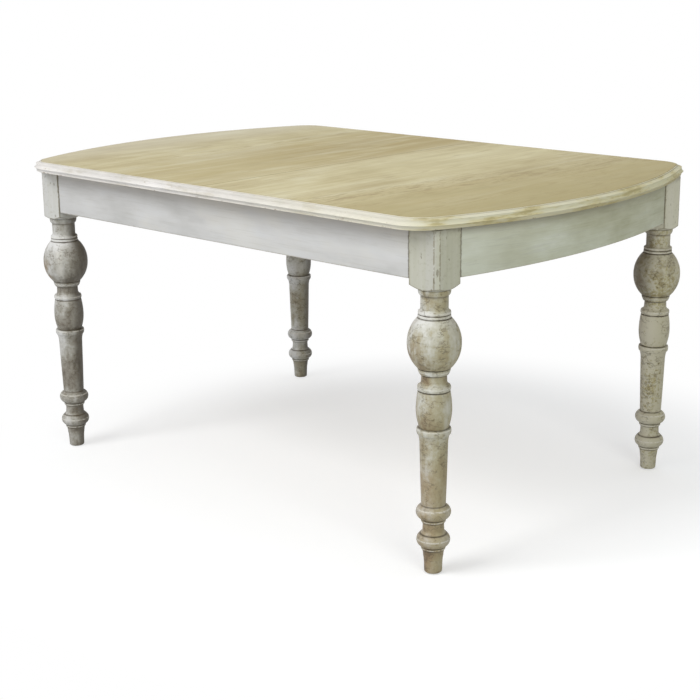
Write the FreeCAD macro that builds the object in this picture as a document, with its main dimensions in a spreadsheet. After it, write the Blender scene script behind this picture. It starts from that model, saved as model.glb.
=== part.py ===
import FreeCAD, Part
import math
import os
import re

import Sketcher
from FreeCAD import Placement, Rotation, Vector

# Extending dining table with bowed ends, four turned legs and a top in two halves.
# Millimetres. X runs along the table, Y across it and Z up from the floor, with the
# origin on the floor under the middle of the table. Front is towards -Y, left towards -X.

SIZES = {
    # Top
    "table_length": 1510,
    "table_width": 1022,
    "table_height": 770,
    "top_thickness": 25,
    "bow_radius": 1170,
    "corner_radius": 84,
    "seam_gap": 0.6,
    # Moulded edge of the top
    "edge_width": 17,
    # Legs
    "leg_end_inset": 134,
    "leg_side_inset": 85,
    "ball_radius": 56.5,
    "block_side": 74,
    "block_height": 130.5,
    "block_chamfer": 9,
    "pommel_rise": 9.3,
    # Aprons
    "apron_thickness": 22,
    "apron_height": 106,
    "apron_setback": 1.5,
    "apron_bow": 47,
    "apron_bead": 3,
    "housing_depth": 6,
    "pad_length": 60,
    "pad_width": 12,
    "pad_thickness": 1.2,
    "inner_pad_place": 185,
    "outer_pad_place": 480,
    "end_pad_place": 150,
    "sliding_gap": 0.3,
    # Corner blocks
    "corner_block_width": 28,
    "corner_block_height": 40,
    "corner_block_gap": 2,
    # Geared slides
    "slide_travel": 240,
    "case_end_gap": 14,
    "case_depth": 12,
    "case_wall": 2,
    "bar_length": 640,
    "bar_thickness": 10,
    "bar_back": 10,
    "bar_clearance": 0.3,
    "bar_side_gap": 0.5,
    "gear_module": 3,
    "gear_backlash": 0.3,
    "pinion_width": 8,
    "pin_radius": 3,
    "pin_head_radius": 5.5,
    "pin_head_thickness": 1.4,
    "shaft_clearance": 0.06,
    "bracket_length": 50,
    "bracket_thickness": 3,
    "bracket_joggle": 1.5,
    "bracket_flange": 26,
    # Battens under the top
    "batten_width": 55,
    "batten_thickness": 18,
    "batten_end_gap": 51.5,
    "batten_chamfer": 5,
    "inner_batten_place": 122,
    "outer_batten_place": 315,
    # Brackets that hang the bars from the top
    "inner_bracket_place": 65,
    "outer_bracket_place": 275,
    # Seam dowels
    "dowel_radius": 5,
    "dowel_glued": 16,
    "dowel_proud": 14,
    "dowel_spacing": 350,
    "glue_clearance": 0.05,
    "dowel_clearance": 0.3,
    # Locks across the seam
    "lock_place": 300,
    "lock_reach": 44,
    "lock_offset": 34,
    "lever_width": 18,
    "lever_thickness": 3,
    "lever_tail": 24,
    "lever_nose": 8,
    "lever_drop": 2,
    "stud_radius": 3,
    "stud_head_radius": 6,
    "stud_head_thickness": 2.5,
    "lock_clearance": 0.4,
    # Stored leaf and what carries it
    "leaf_width": 450,
    "bearer_place": 300,
    "bearer_width": 50,
    "bearer_thickness": 24,
    "bearer_clearance": 0.4,
    "stop_width": 18,
    "stop_height": 14,
    "stop_gap": 0.5,
}

# Plain numbers of the gearing: a count, an angle in degrees and shares of the module.
TEETH = 12
SPACES_BEFORE_PINION = 2
PRESSURE_ANGLE = 20
TIP_SHARE = 0.7
ROOT_SHARE = 0.9

DIAGONAL_SHARE = 0.70710678

# Places worked out from the sizes.
PLACES = {
    "top_under": "table_height - top_thickness",
    "apron_top": "top_under - sliding_gap - pad_thickness",
    "apron_under": "apron_top - apron_height",
    "turned_height": "apron_top - block_height",
    "leg_x": "table_length / 2 - leg_end_inset",
    "leg_y": "table_width / 2 - leg_side_inset",
    "leg_face_x": "leg_x - block_side / 2",
    "leg_face_y": "leg_y - block_side / 2",
    "rail_outer": "leg_y + block_side / 2 - apron_setback",
    "rail_inner": "rail_outer - apron_thickness",
    "end_outer": "leg_x + block_side / 2 - apron_setback",
    "end_radius": "(leg_face_y * leg_face_y + apron_bow * apron_bow) / (2 * apron_bow)",
    "end_centre": "end_outer + apron_bow - end_radius",
    "inner_radius": "end_radius - apron_thickness",
    "inner_edge": "end_centre + sqrt(inner_radius * inner_radius - leg_face_y * leg_face_y)",
    "inner_bow": "end_centre + inner_radius - inner_edge",
    "bow_centre": "table_length / 2 - bow_radius",
    "corner_y": "table_width / 2 - corner_radius",
    "corner_run": "bow_radius - corner_radius",
    "corner_x": "bow_centre + sqrt(corner_run * corner_run - corner_y * corner_y)",
    "bow_sine": "corner_y / corner_run",
    "bow_cosine": "(corner_x - bow_centre) / corner_run",
    "corner_bend": "1 - sqrt((1 + bow_sine) / 2)",
    "pitch_radius": f"{TEETH} * gear_module / 2",
    "tooth_pitch": "gear_module * 3.14159265",
    "case_half": "pitch_radius + bar_back + bar_clearance + case_wall",
    "pinion_height": "apron_top - case_half - case_wall",
    "web_face": "rail_inner - case_wall",
    "bar_outer": "web_face - bar_side_gap",
    "bar_inner": "bar_outer - bar_thickness",
    "pinion_middle": "bar_outer - bar_thickness / 2",
    "bearer_top": "pinion_height - case_half - bearer_clearance",
    "block_line": f"(leg_face_x + leg_face_y) * {DIAGONAL_SHARE} - corner_block_gap",
    "block_middle": "bearer_top - bearer_clearance - corner_block_height / 2",
    "seam": "seam_gap / 2",
    "dowel_height": "top_under + top_thickness / 2",
    "lever_top": "top_under - lever_drop",
    "stud_place": "lock_reach - lock_offset",
    "leaf_half": "leaf_width / 2",
}


def bound(text):
    """The text with each size read from the sheet and each place from the list of places."""

    def word(match):
        name = match.group()
        if name in SIZES:
            return "Sizes." + name
        if name in PLACES:
            return "Places." + name
        return name

    return re.sub(r"[a-z][a-z_]*", word, text)


doc = FreeCAD.newDocument("ExtendingTable")
sheet = doc.addObject("Spreadsheet::Sheet", "Sizes")
for row, (alias, size) in enumerate(SIZES.items(), start=1):
    sheet.set(f"A{row}", alias)
    sheet.set(f"B{row}", str(size))
    sheet.setAlias(f"B{row}", alias)
places = doc.addObject("App::FeaturePython", "Places")
for place, text in PLACES.items():
    places.addProperty("App::PropertyFloat", place)
    places.setExpression(place, bound(text))
gauge = doc.addObject("App::FeaturePython", "Gauge")
gauge.addProperty("App::PropertyFloat", "Reading")
doc.recompute()

parts = []


def worth(text):
    """The number that an expression comes to."""
    gauge.setExpression("Reading", bound(text))
    gauge.recompute()
    return gauge.Reading


def bind(item, **links):
    """Binds properties to expressions; two underscores stand for a dot."""
    for name, text in links.items():
        item.setExpression(name.replace("__", "."), bound(text))
    return item


def place(item, x="0", y="0", z="0", rotation=None):
    """Puts an item at a bound place, turned as the rotation says."""
    if rotation is not None:
        item.Placement = Placement(Vector(), rotation)
    return bind(item, Placement__Base__x=x, Placement__Base__y=y, Placement__Base__z=z)


def node(item, label):
    """Names an item as one of the table's pieces."""
    item.Label = label
    parts.append(item)
    return item


HALF_TURN = Rotation(Vector(0, 0, 1), 180)


def half_turn(item):
    """Turns a piece about the table's upright middle line, to its opposite place."""
    item.Placement = Placement(Vector(), HALF_TURN)
    return item


def block(size, x="0", y="0", z="0", rotation=None):
    """A box with its middle at x and y and its lower face at z."""
    length, width, height = size
    item = doc.addObject("Part::Box", "Box")
    bind(item, Length=length, Width=width, Height=height)
    return place(item, f"{x} - ({length}) / 2", f"{y} - ({width}) / 2", z, rotation)


ALONG = {
    "x": Rotation(Vector(0, 1, 0), 90),
    "y": Rotation(Vector(1, 0, 0), -90),
    "z": Rotation(),
}


def rod(radius, length, x="0", y="0", z="0", along="z"):
    """A cylinder that starts at a point and runs along an axis."""
    item = doc.addObject("Part::Cylinder", "Rod")
    bind(item, Radius=radius, Height=length)
    return place(item, x, y, z, ALONG[along])


def cut(base, *tools):
    """The base less the tools."""
    for tool in tools:
        item = doc.addObject("Part::Cut", "Cut")
        item.Base = base
        item.Tool = tool
        base = item
    return base


def fuse(*items):
    """Several shapes made one solid."""
    item = doc.addObject("Part::MultiFuse", "Fuse")
    item.Shapes = list(items)
    item.Refine = True
    return item


def group(*items):
    """Several solids kept apart in one piece."""
    item = doc.addObject("Part::Compound", "Group")
    item.Links = list(items)
    return item


def origin_plane(body, role):
    """One of the body's own origin planes."""
    return [f for f in body.Origin.OriginFeatures if f.Role == role][0]


def sketch_on(body, role, offset="0"):
    """A sketch on one of the body's origin planes, moved along its normal by the offset."""
    sketch = body.newObject("Sketcher::SketchObject", "Sketch")
    sketch.AttachmentSupport = [(origin_plane(body, role), "")]
    sketch.MapMode = "FlatFace"
    bind(sketch, AttachmentOffset__Base__z=offset)
    return sketch


def arc_radius(start, end, bend):
    """The radius of an arc from its two ends and how far it bends from its chord."""
    across = f"(({end[0]}) - ({start[0]}))"
    up = f"(({end[1]}) - ({start[1]}))"
    return f"(({across} ^ 2 + {up} ^ 2) / 4 + ({bend}) ^ 2) / (2 * abs({bend}))"


def draw(sketch, points, closed=True):
    """Draws lines and arcs through bound points. A third entry is how far the stretch to
    the next point bends to the right of the way it is drawn."""
    at = [Vector(worth(p[0]), worth(p[1]), 0) for p in points]
    count = len(points) if closed else len(points) - 1
    ends = []
    for i in range(count):
        start, end = at[i], at[(i + 1) % len(at)]
        bend = worth(points[i][2]) if len(points[i]) > 2 else 0
        if abs(bend) > 0:
            chord = end - start
            right = Vector(chord.y, -chord.x, 0).normalize()
            edge = Part.Arc(start, (start + end) / 2 + right * bend, end)
            g = sketch.addGeometry(edge, False)
            radius = arc_radius(points[i], points[(i + 1) % len(points)], points[i][2])
            c = sketch.addConstraint(Sketcher.Constraint("Radius", g, worth(radius)))
            sketch.setExpression(f"Constraints[{c}]", bound(radius))
            forward = bend > 0
        else:
            g = sketch.addGeometry(Part.LineSegment(start, end), False)
            forward = True
        ends.append((g, 1, 2) if forward else (g, 2, 1))
    for i in range(count - (0 if closed else 1)):
        this, after = ends[i], ends[(i + 1) % count]
        sketch.addConstraint(Sketcher.Constraint("Coincident", this[0], this[2], after[0], after[1]))
    corners = [(e[0], e[1]) for e in ends] + ([] if closed else [(ends[-1][0], ends[-1][2])])
    for (g, corner), point, spot in zip(corners, points, at):
        for kind, text, value, axis in (
            ("DistanceX", point[0], spot.x, -2),
            ("DistanceY", point[1], spot.y, -1),
        ):
            if text == "0":
                sketch.addConstraint(Sketcher.Constraint("PointOnObject", g, corner, axis))
            else:
                c = sketch.addConstraint(Sketcher.Constraint(kind, -1, 1, g, corner, value))
                sketch.setExpression(f"Constraints[{c}]", bound(text))
    return sketch


def circle(sketch, radius):
    """Draws a bound circle about the sketch's origin."""
    g = sketch.addGeometry(Part.Circle(Vector(), Vector(0, 0, 1), worth(radius)), False)
    sketch.addConstraint(Sketcher.Constraint("Coincident", g, 3, -1, 1))
    c = sketch.addConstraint(Sketcher.Constraint("Radius", g, worth(radius)))
    sketch.setExpression(f"Constraints[{c}]", bound(radius))
    return sketch


def mirrored(points):
    """Points of a half outline given from y low to the middle, carried on over the X axis."""
    back = []
    for i in range(len(points) - 1, -1, -1):
        x, y = points[i][0], points[i][1]
        bend = points[i - 1][2:] if i > 0 else ()
        back.append((x, f"-1 * ({y})", *bend))
    return points + back


def pad(body, sketch, length, midplane=False, backwards=False):
    """Pads a sketch of the body."""
    item = body.newObject("PartDesign::Pad", "Pad")
    item.Profile = sketch
    item.Midplane = midplane
    item.Reversed = backwards
    bind(item, Length=length)
    return item


def pocket(body, sketch, length=None, midplane=False, backwards=False):
    """Pockets a sketch into the body, right through where no length is given."""
    item = body.newObject("PartDesign::Pocket", "Pocket")
    item.Profile = sketch
    item.Midplane = midplane
    item.Reversed = backwards
    if length is None:
        item.Type = "ThroughAll"
    else:
        bind(item, Length=length)
    return item


def turned(body, sketch, kind="PartDesign::Revolution"):
    """Turns a sketch about its upright axis."""
    item = body.newObject(kind, "Turned")
    item.Profile = sketch
    item.ReferenceAxis = (sketch, ["V_Axis"])
    item.Angle = 360
    return item


def new_body(name):
    return doc.addObject("PartDesign::Body", name)


# The turning from the foot to the shoulder under the block: a height, as a share of the
# turned height, and a radius there, as a share of the ball's.
TURNING_SHARES = [
    (0.0000, 0.345),
    (0.0830, 0.416),
    (0.1090, 0.630),
    (0.1410, 0.435),
    (0.1860, 0.435),
    (0.2160, 0.665),
    (0.2470, 0.500),
    (0.4700, 0.500),
    (0.5110, 0.650),
    (0.5220, 0.560),
    (0.5840, 0.675),
    (0.6450, 0.560),
    (0.6620, 0.625),
    (0.6750, 0.475),
    (0.7110, 0.475),
    (0.7340, 0.610),
    (0.7770, 0.920),
    (0.8160, 1.000),
    (0.8620, 0.920),
    (0.9080, 0.600),
    (0.9310, 0.600),
    (0.9310, 0.512),
    (0.9780, 0.512),
    (1.0000, 0.640),
]


def turning_outline():
    """The turned outline as bound points from the foot up to the shoulder, axis to axis."""
    points = [(f"{wide} * ball_radius", f"{high} * turned_height") for high, wide in TURNING_SHARES]
    points[0] = (points[0][0], "0")
    return [("0", "0")] + points + [("0", "turned_height")]


def leg(label, quarter_turns):
    """A turned leg with a square block, its chamfered outer arris towards one corner of the
    table. The blank is turned up to the shoulder, and the block's lower corners are cut by
    the same lathe."""
    body = new_body("Leg")
    turned(body, draw(sketch_on(body, "XZ_Plane"), turning_outline()))
    half = "block_side / 2"
    square = sketch_on(body, "XY_Plane", "turned_height")
    draw(square, [
        (f"-1 * {half}", f"-1 * {half}"),
        (f"{half} - block_chamfer", f"-1 * {half}"),
        (half, f"block_chamfer - {half}"),
        (half, half),
        (f"-1 * {half}", half),
    ])
    pad(body, square, "block_height")
    shoulder = sketch_on(body, "XZ_Plane")
    collar = f"{TURNING_SHARES[-1][1]} * ball_radius"
    corner = f"block_side * {DIAGONAL_SHARE}"
    slope = f"pommel_rise / ({corner} - {collar})"
    draw(shoulder, [
        (collar, "turned_height"),
        ("block_side", "turned_height"),
        ("block_side", f"turned_height + {slope} * (block_side - {collar})"),
    ])
    turned(body, shoulder, "PartDesign::Groove")
    turn = Rotation(Vector(0, 0, 1), 90 * quarter_turns)
    sign_x = (1, 1, -1, -1)[quarter_turns]
    sign_y = (-1, 1, 1, -1)[quarter_turns]
    place(body, f"{sign_x} * leg_x", f"{sign_y} * leg_y", "0", turn)
    return node(body, label)


for quarter, corner_name in enumerate(("front_right", "back_right", "back_left", "front_left")):
    leg(f"leg_{corner_name}", quarter)


def long_apron(label, turned_round):
    """A straight apron between two legs, its lower edge eased, housed for the bearers."""
    body = new_body("LongApron")
    profile = sketch_on(body, "YZ_Plane")
    draw(profile, [
        ("-1 * rail_outer", "apron_under + apron_bead"),
        ("apron_bead - rail_outer", "apron_under"),
        ("-1 * rail_inner", "apron_under"),
        ("-1 * rail_inner", "apron_top"),
        ("-1 * rail_outer", "apron_top"),
    ])
    pad(body, profile, "2 * leg_face_x", midplane=True)
    for side in (-1, 1):
        housing = sketch_on(body, "XY_Plane", "bearer_top + bearer_clearance")
        middle = f"{side} * bearer_place"
        half = "(bearer_width / 2 + bearer_clearance)"
        draw(housing, [
            (f"{middle} - {half}", "-1 * rail_inner - housing_depth"),
            (f"{middle} + {half}", "-1 * rail_inner - housing_depth"),
            (f"{middle} + {half}", "0"),
            (f"{middle} - {half}", "0"),
        ])
        pocket(body, housing, "bearer_thickness + bearer_clearance")
    return node(half_turn(body) if turned_round else body, label)


def end_apron(label, turned_round):
    """A bowed apron between two legs, of one thickness along its curve."""
    body = new_body("EndApron")
    plan = sketch_on(body, "XY_Plane", "apron_under")
    draw(plan, [
        ("end_outer", "-1 * leg_face_y", "apron_bow"),
        ("end_outer", "leg_face_y"),
        ("inner_edge", "leg_face_y", "-1 * inner_bow"),
        ("inner_edge", "-1 * leg_face_y"),
    ])
    pad(body, plan, "apron_height")
    return node(half_turn(body) if turned_round else body, label)


long_apron("front_apron", False)
long_apron("back_apron", True)
end_apron("right_end_apron", False)
end_apron("left_end_apron", True)


def corner_block(label, side, turned_round):
    """A brace across a corner, mitred to both aprons behind the leg."""
    body = new_body("CornerBlock")
    plan = sketch_on(body, "XY_Plane", "block_middle - corner_block_height / 2")
    points = []
    for line in ("block_line", "(block_line - corner_block_width)"):
        reach = f"{line} / {DIAGONAL_SHARE}"
        end_x = (
            f"(end_centre + {reach} + sqrt(2 * inner_radius * inner_radius"
            f" - (end_centre - {reach}) * (end_centre - {reach}))) / 2"
        )
        points.append([
            (f"{reach} - rail_inner", f"{side} * rail_inner"),
            (end_x, f"{side} * ({reach} - {end_x})"),
        ])
    outer, inner = points
    draw(plan, [outer[0], outer[1], inner[1], inner[0]])
    pad(body, plan, "corner_block_height")
    return node(half_turn(body) if turned_round else body, label)


corner_block("corner_block_front_right", -1, False)
corner_block("corner_block_back_right", 1, False)
corner_block("corner_block_back_left", -1, True)
corner_block("corner_block_front_left", 1, True)

CORNERS = ((1, -1), (1, 1), (-1, 1), (-1, -1))


# Bearers across the frame, which carry the leaf while it isn't used, and their stops.
for side_name, side in (("left", -1), ("right", 1)):
    bearer_size = ("bearer_width", "2 * (rail_inner + housing_depth - bearer_clearance)", "bearer_thickness")
    bearer_low = "bearer_top - bearer_thickness"
    node(block(bearer_size, f"{side} * bearer_place", "0", bearer_low), f"{side_name}_bearer")
stop_size = ("bearer_width", "stop_width", "stop_height")
stop_y = "(leaf_half + stop_gap + stop_width / 2)"
node(group(*[
    block(stop_size, f"{x} * bearer_place", f"{y} * {stop_y}", "bearer_top") for x, y in CORNERS
]), "leaf_stops")

# Low-friction pads that the sliding top runs on.
pads = []
pad_middle = "(rail_outer - apron_thickness / 2)"
for x in ("-1 * outer_pad_place", "-1 * inner_pad_place", "inner_pad_place", "outer_pad_place"):
    for side in (-1, 1):
        size = ("pad_length", "pad_width", "pad_thickness")
        pads.append(block(size, x, f"{side} * {pad_middle}", "apron_top"))
middle_radius = "(end_radius - apron_thickness / 2)"
end_pad_x = f"(end_centre + sqrt({middle_radius} * {middle_radius} - end_pad_place * end_pad_place))"
for x, y in CORNERS:
    size = ("pad_width", "pad_length", "pad_thickness")
    pads.append(block(size, f"{x} * {end_pad_x}", f"{y} * end_pad_place", "apron_top"))
node(group(*pads), "apron_pads")


# The geared slides. One bar of each pair hangs from the left half and one from the right,
# and the pinion between them makes the halves run out by the same amount.
def slide_case(label, turned_round):
    """The channel screwed to a long apron that guides both bars."""
    body = new_body("SlideCase")
    profile = sketch_on(body, "YZ_Plane")
    draw(profile, [
        ("-1 * rail_inner", "pinion_height - case_half"),
        ("case_depth - rail_inner", "pinion_height - case_half"),
        ("case_depth - rail_inner", "pinion_height - case_half + case_wall"),
        ("-1 * web_face", "pinion_height - case_half + case_wall"),
        ("-1 * web_face", "pinion_height + case_half - case_wall"),
        ("case_depth - rail_inner", "pinion_height + case_half - case_wall"),
        ("case_depth - rail_inner", "pinion_height + case_half"),
        ("-1 * rail_inner", "pinion_height + case_half"),
    ])
    pad(body, profile, "2 * (leg_face_x - case_end_gap)", midplane=True)
    return node(half_turn(body) if turned_round else body, label)


def slide_bar(label, upper, turned_round):
    """A bar with a rack on its inner edge. The lower bar is the upper one turned about the
    pinion's axis."""
    body = new_body("SlideBar")
    profile = sketch_on(body, "XZ_Plane", "bar_inner")
    tips = f"pinion_height + pitch_radius - {TIP_SHARE} * gear_module"
    roots = f"pinion_height + pitch_radius + {ROOT_SHARE} * gear_module"
    back = "pinion_height + pitch_radius + bar_back"
    draw(profile, [
        ("-1 * bar_length / 2", tips),
        ("bar_length / 2", tips),
        ("bar_length / 2", back),
        ("-1 * bar_length / 2", back),
    ])
    pad(body, profile, "bar_thickness")
    slope = math.tan(math.radians(PRESSURE_ANGLE))
    mouth = f"(tooth_pitch / 4 + {round(TIP_SHARE * slope, 5)} * gear_module)"
    floor = f"(tooth_pitch / 4 - {round(ROOT_SHARE * slope, 5)} * gear_module)"
    first = f"-{SPACES_BEFORE_PINION} * tooth_pitch"
    space = sketch_on(body, "XZ_Plane", "bar_inner")
    draw(space, [
        (f"{first} - {mouth}", tips),
        (f"{first} + {mouth}", tips),
        (f"{first} + {floor}", roots),
        (f"{first} - {floor}", roots),
    ])
    cutter = pocket(body, space, "bar_thickness", backwards=True)
    rack = body.newObject("PartDesign::LinearPattern", "Rack")
    rack.Originals = [cutter]
    rack.Direction = (space, ["H_Axis"])
    rack.Mode = "Spacing"
    count = f"floor(slide_travel / tooth_pitch) + 2 * {SPACES_BEFORE_PINION} + 1"
    bind(rack, Offset="tooth_pitch", Occurrences=count)
    body.Tip = rack
    turn = HALF_TURN if turned_round else Rotation()
    if not upper:
        turn = turn * Rotation(Vector(0, 1, 0), 180)
        place(body, "0", "0", "2 * pinion_height", turn)
    else:
        body.Placement = Placement(Vector(), turn)
    return node(body, label)


def involute(radius_share):
    """Half a tooth's thickness across and its height, as shares of the module, at a radius."""
    base = TEETH / 2 * math.cos(math.radians(PRESSURE_ANGLE))
    steep = math.acos(min(base / radius_share, 1))
    pitch_steep = math.radians(PRESSURE_ANGLE)
    spread = math.tan(pitch_steep) - pitch_steep - (math.tan(steep) - steep)
    half_angle = math.pi / (2 * TEETH) + spread
    return round(radius_share * math.sin(half_angle), 4), round(radius_share * math.cos(half_angle), 4)


def pinion(label, turned_round):
    """A pinion whose teeth are thinned by the backlash, one of them pointing straight up."""
    body = new_body("Pinion")
    root_share = TEETH / 2 - ROOT_SHARE
    sunk_share = root_share - ROOT_SHARE
    base_share = TEETH / 2 * math.cos(math.radians(PRESSURE_ANGLE))
    tip_share = TEETH / 2 + TIP_SHARE
    disc = circle(sketch_on(body, "XZ_Plane"), f"{root_share} * gear_module")
    pad(body, disc, "pinion_width", midplane=True)
    flank = [(involute(base_share)[0], sunk_share)]
    flank += [involute(share) for share in (base_share, (base_share + tip_share) / 2, tip_share)]
    right = [(f"{x} * gear_module - gear_backlash / 2", f"{y} * gear_module") for x, y in flank]
    left = [(f"-1 * ({x})", y) for x, y in reversed(right)]
    tooth_sketch = sketch_on(body, "XZ_Plane")
    draw(tooth_sketch, right + left)
    tooth = pad(body, tooth_sketch, "pinion_width", midplane=True)
    teeth = body.newObject("PartDesign::PolarPattern", "Teeth")
    teeth.Originals = [tooth]
    teeth.Axis = (tooth_sketch, ["N_Axis"])
    teeth.Angle = 360
    teeth.Occurrences = TEETH
    body.Tip = teeth
    bore = circle(sketch_on(body, "XZ_Plane"), "pin_radius + shaft_clearance")
    body.Tip = pocket(body, bore, "2 * pinion_width", midplane=True)
    side = 1 if turned_round else -1
    place(body, "0", f"{side} * pinion_middle", "pinion_height", HALF_TURN if turned_round else None)
    return node(body, label)


def pinion_pin(side):
    """The pin that a pinion turns on, riveted to the case, with a flat head."""
    head = "(pinion_middle - pinion_width / 2 - shaft_clearance)"
    inner = {-1: f"-1 * {head}", 1: f"{head} - pin_head_thickness"}[side]
    shaft = {-1: "-1 * web_face", 1: head}[side]
    return fuse(
        rod("pin_radius", f"web_face - {head}", "0", shaft, "pinion_height", "y"),
        rod("pin_head_radius", "pin_head_thickness", "0", inner, "pinion_height", "y"),
    )


def bar_bracket(upper, x, turned_round):
    """A bent strip that hangs a bar from the top, set off to pass the bar above."""
    body = new_body("BarBracket")
    if upper:
        low, high = "pinion_height + pitch_radius", "pinion_height + pitch_radius + bar_back - bracket_joggle"
    else:
        low, high = "pinion_height - pitch_radius - bar_back", "pinion_height - pitch_radius"
    face = "-1 * bar_inner"
    profile = sketch_on(body, "YZ_Plane")
    draw(profile, [
        (face, low),
        (f"{face} + bracket_thickness", low),
        (f"{face} + bracket_thickness", high),
        (f"{face} + bracket_joggle + bracket_thickness", f"{high} + bracket_joggle"),
        (f"{face} + bracket_joggle + bracket_thickness", "top_under - bracket_thickness"),
        (f"{face} + bracket_flange", "top_under - bracket_thickness"),
        (f"{face} + bracket_flange", "top_under"),
        (f"{face} + bracket_joggle", "top_under"),
        (f"{face} + bracket_joggle", f"{high} + bracket_joggle"),
        (face, high),
    ])
    pad(body, profile, "bracket_length", midplane=True)
    return place(body, x, "0", "0", HALF_TURN if turned_round else None)


slide_case("front_slide_case", False)
slide_case("back_slide_case", True)
slide_bar("front_left_slide_bar", True, False)
slide_bar("front_right_slide_bar", False, False)
slide_bar("back_right_slide_bar", True, True)
slide_bar("back_left_slide_bar", False, True)
pinion("front_pinion", False)
pinion("back_pinion", True)
node(group(pinion_pin(-1), pinion_pin(1)), "pinion_pins")
for side_name, side in (("left", -1), ("right", 1)):
    brackets = []
    for far in ("inner_bracket_place", "outer_bracket_place"):
        brackets.append(bar_bracket(True, f"{side} * {far}", side > 0))
        brackets.append(bar_bracket(False, f"{side} * {far}", side < 0))
    node(group(*brackets), f"{side_name}_bar_brackets")


# The top: a panel in two halves inside a moulded edge, on two battens each.
def top_outline(inset, seam_x="seam"):
    """The right half's outline, set in from the table's edge, with corners that run
    smoothly into the bowed end."""
    bow = f"(bow_radius - ({inset}))"
    corner = f"(corner_radius - ({inset}))"
    edge_y = f"({inset}) - table_width / 2"
    return mirrored([
        (seam_x, edge_y),
        ("corner_x", edge_y, f"{corner} * corner_bend"),
        (f"bow_centre + {bow} * bow_cosine", f"-1 * {bow} * bow_sine", f"{bow} * (1 - bow_cosine)"),
    ])


# The moulding from the underside up: a height, as a share of the top's thickness, and how far
# it lies in from the widest line, as a share of the moulding's width.
EDGE_SHARES = [
    (0.00, 0.38),
    (0.60, 0.00),
    (0.84, 0.20),
    (0.936, 0.81),
]
BEAD_SHARE = EDGE_SHARES[-1][1]


def moulded_edge(label, turned_round):
    """The painted edge: undercut below, rounded over above, with a bead next to the panel."""
    body = new_body("MouldedEdge")
    sections = []
    for high, inset in EDGE_SHARES:
        section = sketch_on(body, "XY_Plane", f"top_under + {high} * top_thickness")
        sections.append(draw(section, top_outline(f"{inset} * edge_width")))
    loft = body.newObject("PartDesign::AdditiveLoft", "Rounding")
    loft.Profile = sections[0]
    loft.Sections = sections[1:]
    loft.Ruled = True
    bead = sketch_on(body, "XY_Plane", f"top_under + {EDGE_SHARES[-1][0]} * top_thickness")
    draw(bead, top_outline(f"{BEAD_SHARE} * edge_width"))
    pad(body, bead, f"{round(1 - EDGE_SHARES[-1][0], 4)} * top_thickness")
    inside = sketch_on(body, "XY_Plane", "table_height")
    draw(inside, top_outline("edge_width", "0"))
    pocket(body, inside)
    return node(half_turn(body) if turned_round else body, label)


def top_panel(turned_round):
    """Half the wooden panel, without its dowel holes."""
    body = new_body("TopPanel")
    plan = sketch_on(body, "XY_Plane", "top_under")
    draw(plan, top_outline("edge_width + glue_clearance"))
    pad(body, plan, "top_thickness")
    return half_turn(body) if turned_round else body


DOWEL_ROWS = (-1, 0, 1)
right_holes = [
    rod("dowel_radius + glue_clearance", "dowel_glued", "seam", f"{row} * dowel_spacing", "dowel_height", "x")
    for row in DOWEL_ROWS
]
left_holes = [
    rod("dowel_radius + dowel_clearance", "dowel_proud + dowel_clearance",
        "-1 * dowel_proud - dowel_clearance", f"{row} * dowel_spacing", "dowel_height", "x")
    for row in DOWEL_ROWS
]
node(cut(top_panel(True), *left_holes), "left_top_panel")
node(cut(top_panel(False), *right_holes), "right_top_panel")
moulded_edge("left_top_edge", True)
moulded_edge("right_top_edge", False)
node(group(*[
    rod("dowel_radius", "dowel_proud + seam + dowel_glued", "-1 * dowel_proud",
        f"{row} * dowel_spacing", "dowel_height", "x")
    for row in DOWEL_ROWS
]), "seam_dowels")


def batten(label, x):
    """A batten screwed under the top, its lower edges chamfered."""
    body = new_body("Batten")
    low = "top_under - batten_thickness"
    half = "batten_width / 2"
    profile = sketch_on(body, "XZ_Plane")
    draw(profile, [
        (f"batten_chamfer - {half}", low),
        (f"{half} - batten_chamfer", low),
        (half, f"{low} + batten_chamfer"),
        (half, "top_under"),
        (f"-1 * {half}", "top_under"),
        (f"-1 * {half}", f"{low} + batten_chamfer"),
    ])
    pad(body, profile, "2 * (rail_inner - batten_end_gap)", midplane=True)
    return node(place(body, x), label)


for side_name, side in (("left", -1), ("right", 1)):
    batten(f"{side_name}_inner_batten", f"{side} * inner_batten_place")
    batten(f"{side_name}_outer_batten", f"{side} * outer_batten_place")


# Turning locks under the seam: each lever turns on a pivot on the left half and its notch
# closes round a stud on the right half.
def headed_stud(x, side):
    """A stud under the top with a head that keeps the lever up."""
    reach = "(lever_drop + lever_thickness + lock_clearance)"
    y = f"{side} * lock_place"
    return fuse(
        rod("stud_radius", reach, x, y, f"top_under - {reach}"),
        rod("stud_head_radius", "stud_head_thickness", x, y, f"top_under - {reach} - stud_head_thickness"),
    )


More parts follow.
